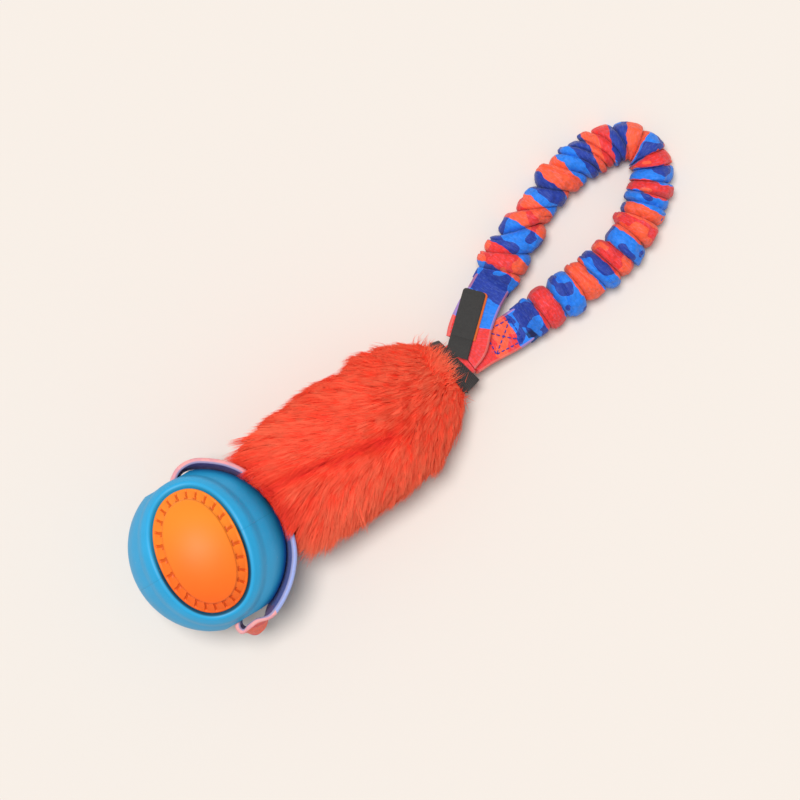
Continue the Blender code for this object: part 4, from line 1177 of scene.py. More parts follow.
def flow_at(points, normals, turn):
    """Directions in which the pile lies: towards the ball, fanning out to both sides of the parting."""
    away = points[:, 1] - line_of_parting(points[:, 0])
    top = np.clip(normals[:, 2] * 0.5 + 0.5, 0.0, 1.0)
    left = math.radians(40.0) * np.tanh(away / 13.0)
    right = math.radians(54.0) * np.tanh(away / 11.0)
    fan = np.where(away > 0.0, left, right)
    fan *= np.interp(points[:, 0], (-36.0, -22.0, 18.0, 44.0), (0.5, 0.95, 1.0, 0.75))
    fan = fan * (0.35 + 0.65 * top) + turn
    ahead = np.array((-1.0, 0.0, 0.0)) + normals * normals[:, :1]
    ahead /= np.linalg.norm(ahead, axis=1)[:, None] + 1e-9
    across = np.cross(normals, ahead)
    across *= np.sign(across[:, 1:2] + 1e-6)
    across *= np.where(normals[:, 2:] > -0.2, 1.0, 0.0)
    return ahead * np.cos(fan)[:, None] + across * np.sin(fan)[:, None]


def root_places(count, rng):
    """Roots of the strands, spread over the backing cloth, and the normals there."""
    rows, columns = 260, 240
    xs = np.linspace(ROOTS_START_X, ROOTS_END_X, rows)
    angles = np.linspace(0.0, 2.0 * math.pi, columns, endpoint=False)
    grid = skin_points(*np.meshgrid(xs, angles, indexing="ij"))
    down = np.gradient(grid, axis=0)
    over = np.roll(grid, -1, axis=1) - np.roll(grid, 1, axis=1)
    cross = np.cross(over, down)
    area = np.linalg.norm(cross, axis=-1)
    normals = cross / (area[..., None] + 1e-9)
    outward = grid - grid.mean(1, keepdims=True)
    normals *= np.sign((normals * outward).sum(-1, keepdims=True) + 1e-9)
    front = np.array((-1.0, 0.0, 0.0))
    blend = np.clip((-33.5 - grid[..., :1]) / 3.6, 0.0, 1.0) ** 2
    normals = normals * (1.0 - blend * 0.5) + front * blend * 0.5
    normals /= np.linalg.norm(normals, axis=-1, keepdims=True)
    weight = area * np.interp(normals[..., 2], (-0.9, -0.3, 0.2), (0.3, 0.8, 1.0))
    weight = weight * np.interp(grid[..., 0], (-36.0, -24.0, 36.0, 44.0), (3.2, 1.0, 1.0, 1.3))
    chance = (weight / weight.sum()).ravel()
    picked = rng.choice(chance.size, count, p=chance)
    i, j = picked // columns, picked % columns
    return grid[i, j] + rng.normal(0.0, 0.35, (count, 3)), normals[i, j]


def strand_curves(roots, normals, length, rise, flow, steps, bend):
    """Points along each strand: it leaves the skin, then lies down along the flow."""
    t = np.linspace(0.0, 1.0, steps)[None, :, None]
    up = rise[:, None, None] * (1.0 - (1.0 - t) ** 2.0)
    ahead = length[:, None, None] * (t - 0.10 * np.sin(math.pi * t))
    return roots[:, None] + flow[:, None] * ahead + normals[:, None] * up + bend[:, None] * t ** 2.0


def ball_reach(away):
    """Distance from the ball's middle, as if the ball were round."""
    return np.linalg.norm(away * (1.0, BALL_RADIUS / BALL_HALF_LENGTH, 1.0), axis=-1)


def trimmed(length, roots, normals, rise, flow, bend):
    """Lengths of strands that end where they meet the ball, also as seen from above."""
    steps = 16
    probe = strand_curves(roots, normals, length, rise, flow, steps, bend) - BALL_CENTRE
    reach = ball_reach(probe)
    seen = ball_reach(probe * (1.0, 1.0, 0.0))
    blocked = (reach < BALL_RADIUS + 1.0) | ((seen < BALL_RADIUS + 0.5) & (probe[..., 2] > 0.0))
    first = np.where(blocked.any(1), np.argmax(blocked, 1), steps)
    return length * np.clip((first - 0.6) / (steps - 1), 0.2, 1.0)


def keep_clear(points, floor=0.25):
    """Push strands off the ball and the floor, and over the strap or back from it."""
    away = points - BALL_CENTRE
    limit = BALL_RADIUS + 0.9
    reach = ball_reach(away)[..., None]
    away *= np.where(reach < limit, limit / np.maximum(reach, 1.0), 1.0)
    seen = ball_reach(away * (1.0, 1.0, 0.0))[..., None]
    high = (seen < BALL_RADIUS + 0.4) & (away[..., 2:] > 0.0)
    away[..., :2] *= np.where(high, (BALL_RADIUS + 0.4) / np.maximum(seen, 1.0), 1.0)
    limit = BALL_RADIUS + STRAP_CLEARANCE + STRAP_THICKNESS + 1.0
    seen = ball_reach(away * (1.0, 1.0, 0.0))
    half = STRAP_WIDTH / 2.0 + 1.3
    level = (seen < limit) & (np.abs(away[..., 2]) < half)
    over = level & (away[..., 2] > -1.0) & (np.abs(away[..., 1]) < OVER_STRAP_REACH)
    away[..., 2] = np.where(over, half + 0.25 * (away[..., 2] + 1.0), away[..., 2])
    away[..., :2] *= np.where(level & ~over, limit / np.maximum(seen, 1.0), 1.0)[..., None]
    points = BALL_CENTRE + away
    points[..., 2] = np.maximum(points[..., 2], floor)
    return points


def strand_mesh(name, curves, widths, tone, up):
    """Closed three-sided strands with a flat side up, which taper to a point."""
    count, steps = curves.shape[:2]
    along = np.gradient(curves, axis=1)
    along /= np.linalg.norm(along, axis=-1, keepdims=True) + 1e-9
    side = np.cross(along, up[:, None])
    side /= np.linalg.norm(side, axis=-1, keepdims=True) + 1e-9
    top = np.cross(side, along)
    rings = steps - 1
    angles = np.array((math.pi / 6.0, math.pi * 5.0 / 6.0, math.pi * 1.5))
    shape = np.array((0.8, 1.0, 0.8, 0.6))[:rings]
    radius = (widths[:, None] * 0.5 * shape[None])[..., None, None]
    ring = curves[:, :rings, None] + radius * (side[:, :rings, None] * np.cos(angles)[None, None, :, None]
                                               + top[:, :rings, None] * np.sin(angles)[None, None, :, None])
    points = np.concatenate([ring.reshape(count, rings * 3, 3), curves[:, -1:]], axis=1)
    tones = np.concatenate([np.repeat(tone[:, :rings], 3, axis=1), tone[:, -1:]], axis=1)
    per = rings * 3 + 1
    base = (np.arange(count) * per)[:, None, None]
    sides = grid_quads(rings, 3)
    tip = rings * 3
    ends = np.array([(rings * 3 - 3 + k, rings * 3 - 3 + (k + 1) % 3, tip) for k in range(3)] + [(2, 1, 0)])
    quads = (base + sides[None]).reshape(-1, 4)
    tris = (base + ends[None]).reshape(-1, 3)
    a, b, c = points[0][ends[0]]
    outward = np.dot(np.cross(b - a, c - a), a - curves[0, rings - 1])
    if outward < 0.0:
        quads, tris = quads[:, ::-1], tris[:, ::-1]
    strands = new_piece(name, points.reshape(-1, 3), quads, tris, {"tone": tones.ravel()})
    strands.data.shade_flat()
    return strands


def relief(points):
    """How far the coat's surface lies under its envelope at points near it."""
    shift, middle, half_width, half_height = fur_sections(points[..., 0])
    y = squared((points[..., 1] - shift) / half_width, FUR_POWER / 2.0)
    z = squared((points[..., 2] - middle) / half_height, FUR_POWER / 2.0)
    return tuft_depth(points[..., 0], np.arctan2(z, y), points[..., 2])


def strand_tone_and_shade(points, along, extra):
    """Tone of the pile, with painted shade at the roots, beside the ball and on the parting, and a painted
    highlight at the tips.

    It is painted lighter too towards the right side and the rear, which the lamp leaves in shade.
    """
    # Painted shade at the roots and a painted highlight at the tips, with random tone per tuft and strand
    tone = along ** 0.7 * 0.84 + 0.08 + extra * along
    # Painted shade beside the ball
    away = points - BALL_CENTRE
    beside = np.maximum(ball_reach(away * (1.0, 1.0, 0.0)) - BALL_RADIUS, 0.0)
    side = np.interp(points[..., 1], (-24.0, -17.0), (0.0, 1.0))
    tone -= 0.46 * np.exp(-(beside / 7.0) ** 2) * side
    # Painted shade along the parting
    parting = np.abs(points[..., 1] - line_of_parting(points[..., 0]))
    reach = np.interp(points[..., 0], (-40.0, -32.0, 10.0, 20.0), (0.4, 1.0, 1.0, 0.0))
    tone -= 0.32 * np.exp(-(parting / 2.5) ** 2) * reach
    # Painted light on the right side and the rear, which the lamp leaves darker
    tone += np.interp(points[..., 1], (-31.0, -13.0), (0.26, 0.0))
    tone += np.interp(points[..., 0], (16.0, 44.0), (0.0, 0.16))
    return np.clip(tone, 0.0, 1.0)


def nearest_of(heads, roots):
    """For each root, the number of the tuft whose head is nearest."""
    tree = KDTree(len(heads))
    for k, head in enumerate(heads):
        tree.insert(head, k)
    tree.balance()
    return np.array([tree.find(root)[1] for root in roots])


def tuft_habit(settings, heads, normals, rng):
    """Length, rise, turn and sag of the tufts: long beside the ball, short and flat at the rear."""
    tufts = len(heads)
    near = np.interp(heads[:, 0], (-37.0, -30.0, -22.0, 30.0, 44.0), (1.95, 1.8, 1.2, 0.92, 0.55))
    side = np.interp(np.abs(heads[:, 1]), (10.0, 20.0), (0.0, 0.38))
    near *= 1.0 + side * np.interp(heads[:, 0], (-32.0, -20.0), (1.0, 0.0))
    length = settings.length / MM * near * rng.uniform(0.85, 1.15, tufts)
    rise = np.interp(heads[:, 0], (-38.0, -28.0, 26.0, 40.0, 46.0), (6.5, 4.9, 4.9, 2.2, 1.3))
    rise *= rng.uniform(0.72, 1.12, tufts)
    turn = rng.normal(0.0, math.radians(8.0), tufts)
    sag = np.zeros((tufts, 3))
    sag[:, 2] = np.interp(normals[:, 2], (-0.2, 0.3, 0.8), (-0.5, -1.4, 0.0))
    return length, rise, turn, sag


def pile_strands(settings):
    """Curves, widths, tones and root normals of all the strands."""
    rng = np.random.default_rng(7)
    count, tufts, steps = settings.count, settings.tufts, STRAND_STEPS
    roots, normals = root_places(count, rng)
    heads, head_normals = root_places(tufts, rng)
    owner = nearest_of(heads, roots)
    head_length, head_rise, head_turn, sag = tuft_habit(settings, heads, head_normals, rng)
    head_flow = flow_at(heads, head_normals, head_turn)
    head_length = trimmed(head_length, heads, head_normals, head_rise, head_flow, sag)
    head_curves = strand_curves(heads, head_normals, head_length, head_rise, head_flow, steps, sag)
    length = head_length[owner] * rng.uniform(0.8, 1.12, count)
    rise = head_rise[owner] * rng.uniform(0.75, 1.15, count)
    flow = flow_at(roots, normals, head_turn[owner] + rng.normal(0.0, math.radians(5.0), count))
    bend = sag[owner] + rng.normal(0.0, 0.5, (count, 3))
    length = trimmed(length, roots, normals, rise, flow, bend)
    curves = strand_curves(roots, normals, length, rise, flow, steps, bend)
    t = np.linspace(0.0, 1.0, steps)
    gather = rng.uniform(0.25, 0.62, tufts)[owner][:, None, None] * t[None, :, None] ** 1.3
    curves = curves * (1.0 - gather) + head_curves[owner] * gather
    stray = rng.random(count) < 0.05
    lift = rng.uniform(0.3, 1.5, stray.sum())[:, None, None]
    curves[stray] += normals[stray][:, None] * (t[None, :, None] * lift)
    curves -= normals[:, None] * (0.8 * relief(curves) * t[None])[..., None]
    extra = rng.normal(0.0, 0.09, tufts)[owner] + rng.normal(0.0, 0.06, count)
    widths = settings.width / MM * rng.uniform(0.75, 1.2, count)
    widths *= np.interp(roots[:, 0], (-34.0, -24.0), (1.25, 1.0))
    loose, loose_normals = loose_rear(rng)
    curves = keep_clear(np.concatenate([curves, loose]))
    extra = np.concatenate([extra, rng.normal(0.05, 0.12, len(loose))])[:, None]
    widths = np.concatenate([widths, settings.width / MM * rng.uniform(0.5, 1.0, len(loose))])
    tone = strand_tone_and_shade(curves, t[None], extra)
    return curves, widths, tone, np.concatenate([normals, loose_normals])


def loose_rear(rng):
    """Hair at the rear that lies over the collar, and the normals at its roots."""
    count, end_x = 560, 51.0
    x = rng.uniform(36.0, 42.0, count)
    spread = np.where(rng.random(count) < 0.8, math.radians(13.0), math.radians(40.0))
    angle = math.radians(74.0) + rng.normal(0.0, 1.0, count) * spread
    roots = skin_points(x, angle)
    middle = skin_points(x, np.full(count, math.pi / 2.0))
    normals = roots - middle * (1.0, 1.0, 0.0) - (0.0, 0.0, HANDLE_HEIGHT)
    normals[:, 0] = 0.0
    normals /= np.linalg.norm(normals, axis=1)[:, None]
    turn = rng.normal(0.0, math.radians(24.0), count)
    flow = np.stack([np.cos(turn), np.sin(turn), np.zeros(count)], -1)
    length = rng.uniform(3.5, 8.5, count) + 3.5 * (rng.random(count) < 0.08)
    rise = rng.uniform(2.2, 4.0, count)
    bend = rng.normal(0.0, 0.5, (count, 3))
    curves = strand_curves(roots, normals, length, rise, flow, STRAND_STEPS, bend)
    kept = curves[:, -1, 0] < end_x
    return curves[kept], normals[kept]


# Hand loop

def fold_crests(theta, harmonics):
    """Radius of each fold's crest round the sleeve."""
    cosine = np.cos(theta)
    crests = []
    for (_, _, outside, inside), (a, b, c) in zip(FOLDS, harmonics):
        level = outside * (1.0 + cosine) / 2.0 + inside * (1.0 - cosine) / 2.0
        crests.append(level * (1.0 + 0.045 * np.cos(2.0 * theta + a) + 0.028 * np.cos(3.0 * theta + b)
                               + 0.016 * np.cos(5.0 * theta + c)))
    return np.array(crests)


def sleeve_radius(s, theta, depth_least):
    """Radius of the ruched sleeve at places along it and angles round it, and how full each is."""
    rng = np.random.default_rng(11)
    table, count = np.array(FOLDS), len(FOLDS)
    harmonics = rng.uniform(0.0, 2.0 * math.pi, (count, 3))
    crest_at = table[:, :1] + 0.5 * table[:, 1:2] * np.cos(theta)[None]
    for k in range(1, count):
        crest_at[k] = np.maximum(crest_at[k], crest_at[k - 1] + 2.6)
    crest = fold_crests(theta, harmonics)
    gaps = np.diff(table[:, 0])[:, None]
    middle = (crest_at[1:] + crest_at[:-1]) / 2.0
    wedge = rng.uniform(-0.16, 0.16, (count - 1, 1)) * gaps
    wedge = wedge * np.cos(theta + rng.uniform(0.0, 6.3, (count - 1, 1)))
    valley_at = np.concatenate([crest_at[:1] - 4.0, middle + wedge, crest_at[-1:] + 4.0])
    uneven = 1.0 + 0.45 * np.cos(theta[None] + rng.uniform(0.0, 6.3, (count - 1, 1)))
    low = np.minimum(crest[1:], crest[:-1]) - depth_least - 0.15 * gaps * uneven
    low = np.concatenate([crest[:1] - 1.2, low, crest[-1:] - 1.2])
    width = np.concatenate([[8.0], (gaps[1:, 0] + gaps[:-1, 0]) / 2.0, [8.0]])
    crease_at = rng.uniform(-0.45, 0.45, count)
    crease_deep = 0.2 * np.clip(width - 4.5, 0.0, 7.0)
    radius = np.empty((len(s), len(theta)))
    fullness = np.empty_like(radius)
    for j, angle in enumerate(theta):
        k = np.clip(np.searchsorted(valley_at[1:-1, j], s), 0, count - 1)
        away = s - crest_at[k, j]
        left, right = crest_at[k, j] - valley_at[k, j], valley_at[k + 1, j] - crest_at[k, j]
        t = np.clip(np.where(away < 0.0, away / left, away / right), -1.0, 1.0)
        lobe = (1.0 - np.abs(t) ** 3.2) ** 0.6
        valley = np.where(t < 0.0, low[k, j], low[k + 1, j])
        pucker = np.sin(angle * (9 + k % 5) + harmonics[k, 1]) * np.sin(angle * 5 + harmonics[k, 2])
        crease = t - crease_at[k] - 0.3 * np.cos(angle + harmonics[k, 0])
        part = np.clip(0.5 + np.cos(angle + harmonics[k, 1]), 0.0, 1.0)
        radius[:, j] = valley + (crest[k, j] - valley) * lobe + 0.5 * (1.0 - lobe) * pucker
        radius[:, j] -= crease_deep[k] * part * np.exp(-(crease / 0.10) ** 2) * lobe
        fullness[:, j] = lobe
    return radius, fullness


def make_sleeve(settings):
    """The ruched sleeve: folds outside, a smooth lining inside, and a flat mouth at each tail."""
    columns, rows_out, rows_in = 96, 880, 60
    over = 3.0
    route = loop_route()
    total = lengths_of(route)[-1]
    theta = 2.0 * math.pi * np.arange(columns) / columns
    s = np.linspace(-over, total + over, rows_out)
    radius, fullness = sleeve_radius(np.clip(s, 0.0, total), theta, settings.depth / MM)
    lean = 1.6 * np.sin(s[:, None] / 7.0 + 1.3 * np.cos(theta)[None]) * fullness
    places = s[:, None] + lean * np.clip(np.minimum(s, total - s) / 8.0, 0.0, 1.0)[:, None]
    spots = np.stack([places, radius * np.cos(theta), radius * np.sin(theta)], -1)
    radius = radius + 0.28 * noise_field(spots, 5.0, 3) * fullness + 0.10 * noise_field(spots, 1.9, 4)
    outer, outer_cloth = sleeve_rows(route, places, radius, theta, SLEEVE_MOUTH)
    inner_places = np.repeat(np.linspace(total + over, -over, rows_in)[:, None], columns, 1)
    inner_radius = np.full(inner_places.shape, LINING_RADIUS)
    inner, inner_cloth = sleeve_rows(route, inner_places, inner_radius, theta, LINING_MOUTH)
    rows = np.concatenate([outer, inner])
    cloth = np.concatenate([outer_cloth, inner_cloth])
    # How full each place of a fold is, which sets the painted shade in its valleys
    fold = np.concatenate([fullness, np.zeros((rows_in, columns))])
    rows[..., 2] = np.maximum(rows[..., 2], 0.12)
    sleeve = new_piece("sleeve_ruched", rows.reshape(-1, 3), grid_quads(len(rows), columns, True),
                       tables={"cloth": cloth.reshape(-1, 3) * MM, "fold": fold.ravel()})
    turn_faces_out(sleeve)
    return sleeve


def sleeve_rows(route, places, radius, theta, mouth):
    """Rows of points round the loop's middle line, flattened at both mouths."""
    half_width, half_height = mouth
    total = lengths_of(route)[-1]
    fine = np.linspace(-6.0, total + 6.0, 1600)
    middle = read_route(route, fine)
    for axis in range(2):
        middle[20:-20, axis] = smoothed(middle[:, axis], np.hanning(25))[20:-20]
    along = directions(middle)
    side = np.cross(UP, along)
    side /= np.linalg.norm(side, axis=1)[:, None]
    flat = places.ravel()
    centre = np.stack([np.interp(flat, fine, middle[:, k]) for k in range(3)], -1).reshape(*places.shape, 3)
    out = np.stack([np.interp(flat, fine, side[:, k]) for k in range(3)], -1).reshape(*places.shape, 3)
    close = eased(np.clip(1.0 - np.minimum(places + 2.5, total + 2.5 - places) / 9.0, 0.0, 1.0))
    base = np.maximum(radius, 1.0)
    across, upright = radius * np.cos(theta), radius * np.sin(theta)
    wide = across * (1.0 + (half_width / base - 1.0) * close)
    tall = upright * (1.0 + (half_height / base - 1.0) * close)
    rows = centre + out * wide[..., None] + UP * tall[..., None]
    return rows, np.stack([places, across, upright], -1)


def make_cord():
    """The elastic cord on the hand loop's middle line, flattened at both ends."""
    columns, rows_along, inset = 20, 220, 0.6
    route = loop_route()
    theta = 2.0 * math.pi * np.arange(columns) / columns
    places = np.linspace(inset, lengths_of(route)[-1] - inset, rows_along)
    places = np.repeat(places[:, None], columns, 1)
    rows, cloth = sleeve_rows(route, places, np.full(places.shape, CORD_RADIUS), theta, CORD_MOUTH)
    return closed_rows("cord_bungee", rows, {"cloth": cloth * MM})


# Collar and webbing inside

def ring_points(turn, half_width, half_height):
    """Places to the left and upwards on a rounded oblong."""
    return (squared(np.cos(turn), COLLAR_ROUNDING) * half_width,
            squared(np.sin(turn), COLLAR_ROUNDING) * half_height)


def make_band():
    """The collar band: webbing folded over the fur's rear end, with a slanting rear edge."""
    columns, rows_out = 112, 40
    places, widths, heights = np.array(COLLAR_STATIONS).T
    front, rear = places[0], places[-1]
    fine = np.linspace(front, rear, rows_out)
    sections = list(zip(fine, np.interp(fine, places, widths), np.interp(fine, places, heights)))
    turn = np.linspace(0.0, 2.0 * math.pi, columns, endpoint=False)
    rows, cloth = [], []
    for layer, chosen, wall, least in ((0.0, sections, 0.0, 0.0), (1.0, sections[::-2], COLLAR_WALL, 2.6)):
        for x, half_width, half_height in chosen:
            y, z = ring_points(turn, half_width - wall, max(half_height - wall, least))
            slanted = x + COLLAR_SLANT * y * (x - front) / (rear - front)
            rows.append(np.stack([slanted, y, HANDLE_HEIGHT + z], -1))
            cloth.append(np.stack([np.full(columns, x), half_width * turn, np.full(columns, layer)], -1))
    band = new_piece("band_collar", np.array(rows).reshape(-1, 3), grid_quads(len(rows), columns, True),
                     tables={"cloth": np.array(cloth).reshape(-1, 3) * MM}, sharp=70.0)
    turn_faces_out(band)
    return band


def make_collar_tack():
    """One round of stitches through the collar band."""
    turn = np.linspace(0.0, 2.0 * math.pi, 60)
    y, z = ring_points(turn, COLLAR_SEAM_HALF_WIDTH, COLLAR_SEAM_HALF_HEIGHT)
    ring = np.stack([np.full(len(turn), COLLAR_SEAM_X), y, HANDLE_HEIGHT + z], -1)
    ends = seam(ring, 2.4)
    normals = []
    for a, b in ends:
        out = (a + b) / 2.0 - np.array((COLLAR_SEAM_X, 0.0, HANDLE_HEIGHT))
        normals.append(out / np.linalg.norm(out))
    return stitches("collar_tack", ends, normals, 0.45, 0.2)


def make_core_webbing():
    """The webbing from the neck to the collar, which turns from upright to flat on its way."""
    xs = np.linspace(HINGE_X + NECK_THICKNESS / 2.0 + GAP, HANDLE_ROOT_X - GAP, 90)
    turn_start, turn_end = FUR_FRONT_X + 6.0, FUR_REAR_X - 12.0
    share = eased(climb(xs, turn_start, turn_end - turn_start))
    turn = math.pi / 2.0 * (1.0 - share)
    heights = BALL_CENTRE[2] + (HANDLE_HEIGHT - BALL_CENTRE[2]) * share
    route = np.stack([xs, np.zeros(len(xs)), heights], -1)
    sides = np.stack([np.zeros(len(xs)), np.cos(turn), np.sin(turn)], -1)
    return strap_piece("webbing_core", route, sides, STRAP_WIDTH, CORE_THICKNESS)


# Tails and their stitching

def make_tail(side, route, facing):
    """One flat tail, level from left to right, which starts square to the toy's length."""
    along = directions(route)
    sides = np.cross(UP, along * (1.0, 1.0, 0.0))
    ease = climb(np.arange(len(route)), 0.0, 14.0)[:, None]
    sides = sides * ease + np.array((0.0, 1.0, 0.0)) * (1.0 - ease)
    spread = np.interp(lengths_of(route), TAIL_SPREAD_PLACES, TAIL_SPREAD) * (facing < 0.0)
    return strap_piece("tail_" + side + "_cloth", route, sides, TAIL_WIDTH, TAIL_THICKNESS, 0.35, spread)


def make_box(side, route, share, facing):
    """Stitches round a box and across it, on the upper or the lower face of a tail."""
    total = lengths_of(route)[-1]
    a, b = BOX_HALF_LENGTH, BOX_HALF_WIDTH
    corners = ((-a, -b), (a, -b), (a, b), (-a, b), (-a, -b), (a, b))
    lines = list(zip(corners, corners[1:])) + [((-a, b), (a, -b))]
    ends, normals = [], []
    for start, end in lines:
        spots = []
        for u, v in np.linspace(start, end, 24):
            place = np.array([np.clip(share * total + u, 0.0, total)])
            here = read_route(route, place)[0]
            ahead = read_route(route, place + 0.5)[0] - read_route(route, place - 0.5)[0]
            across = np.cross(UP, ahead)
            across /= np.linalg.norm(across)
            normal = np.cross(ahead, across)
            normal *= facing * math.copysign(1.0, normal[2]) / np.linalg.norm(normal)
            spots.append(here + across * v + normal * (TAIL_THICKNESS / 2.0 + 0.22))
        for pair in seam(spots, 2.3):
            ends.append(pair)
            normals.append(normal)
    return stitches("box_" + side, ends, normals, 0.55, 0.25)


# Label

def label_rows(tail, foot, tip, width, shift, lift):
    """Rows of points and cloth table of one layer of the label, which follows the left tail's height."""
    length = np.linalg.norm(tip - foot)
    along = (tip - foot) / length
    side = np.cross(UP, along)
    rounded_from = length - 2.0
    places = np.concatenate([np.linspace(0.0, rounded_from, 50), rounded_from + np.linspace(0.1, 2.0, 16)])
    rows, cloth = [], []
    for place in places:
        point = foot + along * place
        nearest = np.argmin(np.hypot(tail[:, 0] - point[0], tail[:, 1] - point[1]))
        height = tail[nearest, 2] + TAIL_THICKNESS / 2.0 + 0.5 + LABEL_THICKNESS / 2.0 + lift
        corner = min(max(place - (length - LABEL_CORNER), 0.0), LABEL_CORNER)
        half = width / 2.0 - (LABEL_CORNER - math.sqrt(max(LABEL_CORNER ** 2 - corner ** 2, 0.0)))
        profile = flat_profile(max(half, 0.4), LABEL_THICKNESS / 2.0, 16)
        rows.append(point + side * (profile[:, :1] + shift) + UP * (height + profile[:, 1:]))
        cloth.append(np.stack([np.full(len(profile), place), profile[:, 0], profile[:, 1]], -1))
    rows = np.array(rows)
    level = rows[..., 2].mean(1)
    rows[..., 2] += (smoothed(level, np.hanning(13)) - level)[:, None]
    return rows, np.array(cloth)


def make_foot(base, along):
    """The label's foot, from the collar to the place where the label starts."""
    start = np.array(LABEL_FOOT)
    route = smooth_route([start, (start + base) / 2.0 + UP * 0.3, base - along * 0.15 + UP * -0.5], 10)
    sides = np.repeat(np.cross(UP, along)[None], len(route), 0)
    return strap_piece("foot_label", route, sides, LABEL_WIDTH, LABEL_FOOT_THICKNESS)


# Operators

class TOY_OT_ball(bpy.types.Operator):
    """Make the ball's blue shell and its orange core with the notched oval pads"""

    bl_idname = "toy.ball"
    bl_label = "Ball"

    def execute(self, context):
        settings = context.scene.toy_ball
        shell = make_shell(settings)
        shell.data.materials.append(shell_rubber(settings))
        core = make_core(settings)
        core.data.materials.append(pad_rubber(settings))
        for piece, node, slot in ((shell, "ball_shell", "blue_rubber"), (core, "ball_core", "orange_rubber")):
            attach(piece, "ball")
            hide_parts(node)
        return {"FINISHED"}


class TOY_OT_strap(bpy.types.Operator):
    """Make the printed strap through the ball, its sewn neck and the neck's stitching"""

    bl_idname = "toy.strap"
    bl_label = "Ball strap"

    def execute(self, context):
        settings = context.scene.toy_fabric
        route = smooth_route(strap_stops(), 14)
        strap = strap_piece("strap_ball", route, strap_lean(route), STRAP_WIDTH, STRAP_THICKNESS, 0.12)
        bands = ((-8.0, "red"), (64.0, "navy"), (112.0, "orange"), (131.0, "blue"))
        partners = ("orange", "blue", "red", "blue")
        # Pale edges of the strap, a painted highlight
        pale = linear(235, 225, 235)
        # The strap's inward face is painted shade in navy
        cloth = printed_cloth(settings, "printed webbing", bands, partners, (7.1, pale), inner="navy")
        strap.data.materials.append(cloth)
        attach(strap, "ball_loop")
        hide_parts("ball_strap")
        neck = make_neck()
        neck.data.materials.append(printed_cloth(settings, "neck webbing", ((-8.0, "red"), (2.5, "navy")),
                                                 ("red", "navy")))
        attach(neck, "strap_neck")
        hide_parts("neck_webbing")
        tack = make_neck_tack()
        tack.data.materials.append(thread("navy thread on the neck", tuple(settings.navy)))
        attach(tack, "strap_neck")
        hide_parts("neck_stitching")
        return {"FINISHED"}


class TOY_OT_fur(bpy.types.Operator):
    """Make the fur sleeve: its backing cloth, its filling and its pile"""

    bl_idname = "toy.fur"
    bl_label = "Fur sleeve"

    def execute(self, context):
        settings = context.scene.toy_fur
        skin = make_skin()
        skin.data.materials.append(backing_cloth(settings))
        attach(skin, "fur_body")
        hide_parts("fur_sleeve")
        coat = pile(settings)
        curves, widths, tone, normals = pile_strands(settings)
        order = np.argsort(curves[:, 0, 0])
        pieces = math.ceil(len(order) / STRANDS_PER_PIECE)
        for k, chosen in enumerate(np.array_split(order, pieces)):
            tuft = strand_mesh(f"pile_{k + 1}", curves[chosen], widths[chosen], tone[chosen], normals[chosen])
            tuft.data.materials.append(coat)
            if curves[chosen, 0, 0].min() < -26.0:
                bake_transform(tuft)
            else:
                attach(tuft, "fur_body")
        return {"FINISHED"}


class TOY_OT_filling(bpy.types.Operator):
    """Make the loose filling inside the fur sleeve"""

    bl_idname = "toy.filling"
    bl_label = "Filling"

    def execute(self, context):
        source = bpy.data.objects["sleeve_filling"]
        stuffing = bpy.data.objects.new("stuffing", source.data.copy())
        stuffing.data.materials.clear()
        context.scene.collection.objects.link(stuffing)
        pick(stuffing)
        bpy.ops.object.mode_set(mode="EDIT")
        bpy.ops.mesh.select_all(action="SELECT")
        bpy.ops.mesh.remove_doubles(threshold=0.00001)
        bpy.ops.object.mode_set(mode="OBJECT")
        remesh = stuffing.modifiers.new("even faces", "REMESH")
        remesh.mode = "VOXEL"
        remesh.voxel_size = 1.3 * MM
        bpy.ops.object.modifier_apply(modifier=remesh.name)
        mesh = stuffing.data
        places = np.empty(len(mesh.vertices) * 3)
        mesh.vertices.foreach_get("co", places)
        places = places.reshape(-1, 3) / MM
        normals = np.array([vertex.normal[:] for vertex in mesh.vertices])
        places -= normals * (0.25 + 0.25 * noise_field(places, 7.0, 2))[:, None]
        mesh.vertices.foreach_set("co", (places * MM).ravel())
        mesh.shade_smooth()
        stuffing.data.materials.append(loose_fibre())
        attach(stuffing, "fur_body")
        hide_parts("sleeve_filling")
        return {"FINISHED"}


class TOY_OT_collar(bpy.types.Operator):
    """Make the black band at the rear of the fur, its stitching and the webbing that runs through"""

    bl_idname = "toy.collar"
    bl_label = "Collar"

    def execute(self, context):
        settings = context.scene.toy_fabric
        band = make_band()
        band.data.materials.append(plain_webbing("black webbing", linear(34, 32, 32), linear(92, 86, 84)))
        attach(band, "fur_body")
        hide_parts("collar_band")
        tack = make_collar_tack()
        tack.data.materials.append(thread("black thread", linear(46, 44, 46)))
        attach(tack, "fur_body")
        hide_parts("collar_stitching")
        core = make_core_webbing()
        # The pale pink edges are a painted highlight
        core.data.materials.append(printed_cloth(settings, "core webbing", ((-8.0, "blue"), (60.0, "red")),
                                                 ("navy", "red"), (7.0, linear(236, 120, 110))))
        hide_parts("core_webbing")
        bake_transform(core)
        return {"FINISHED"}


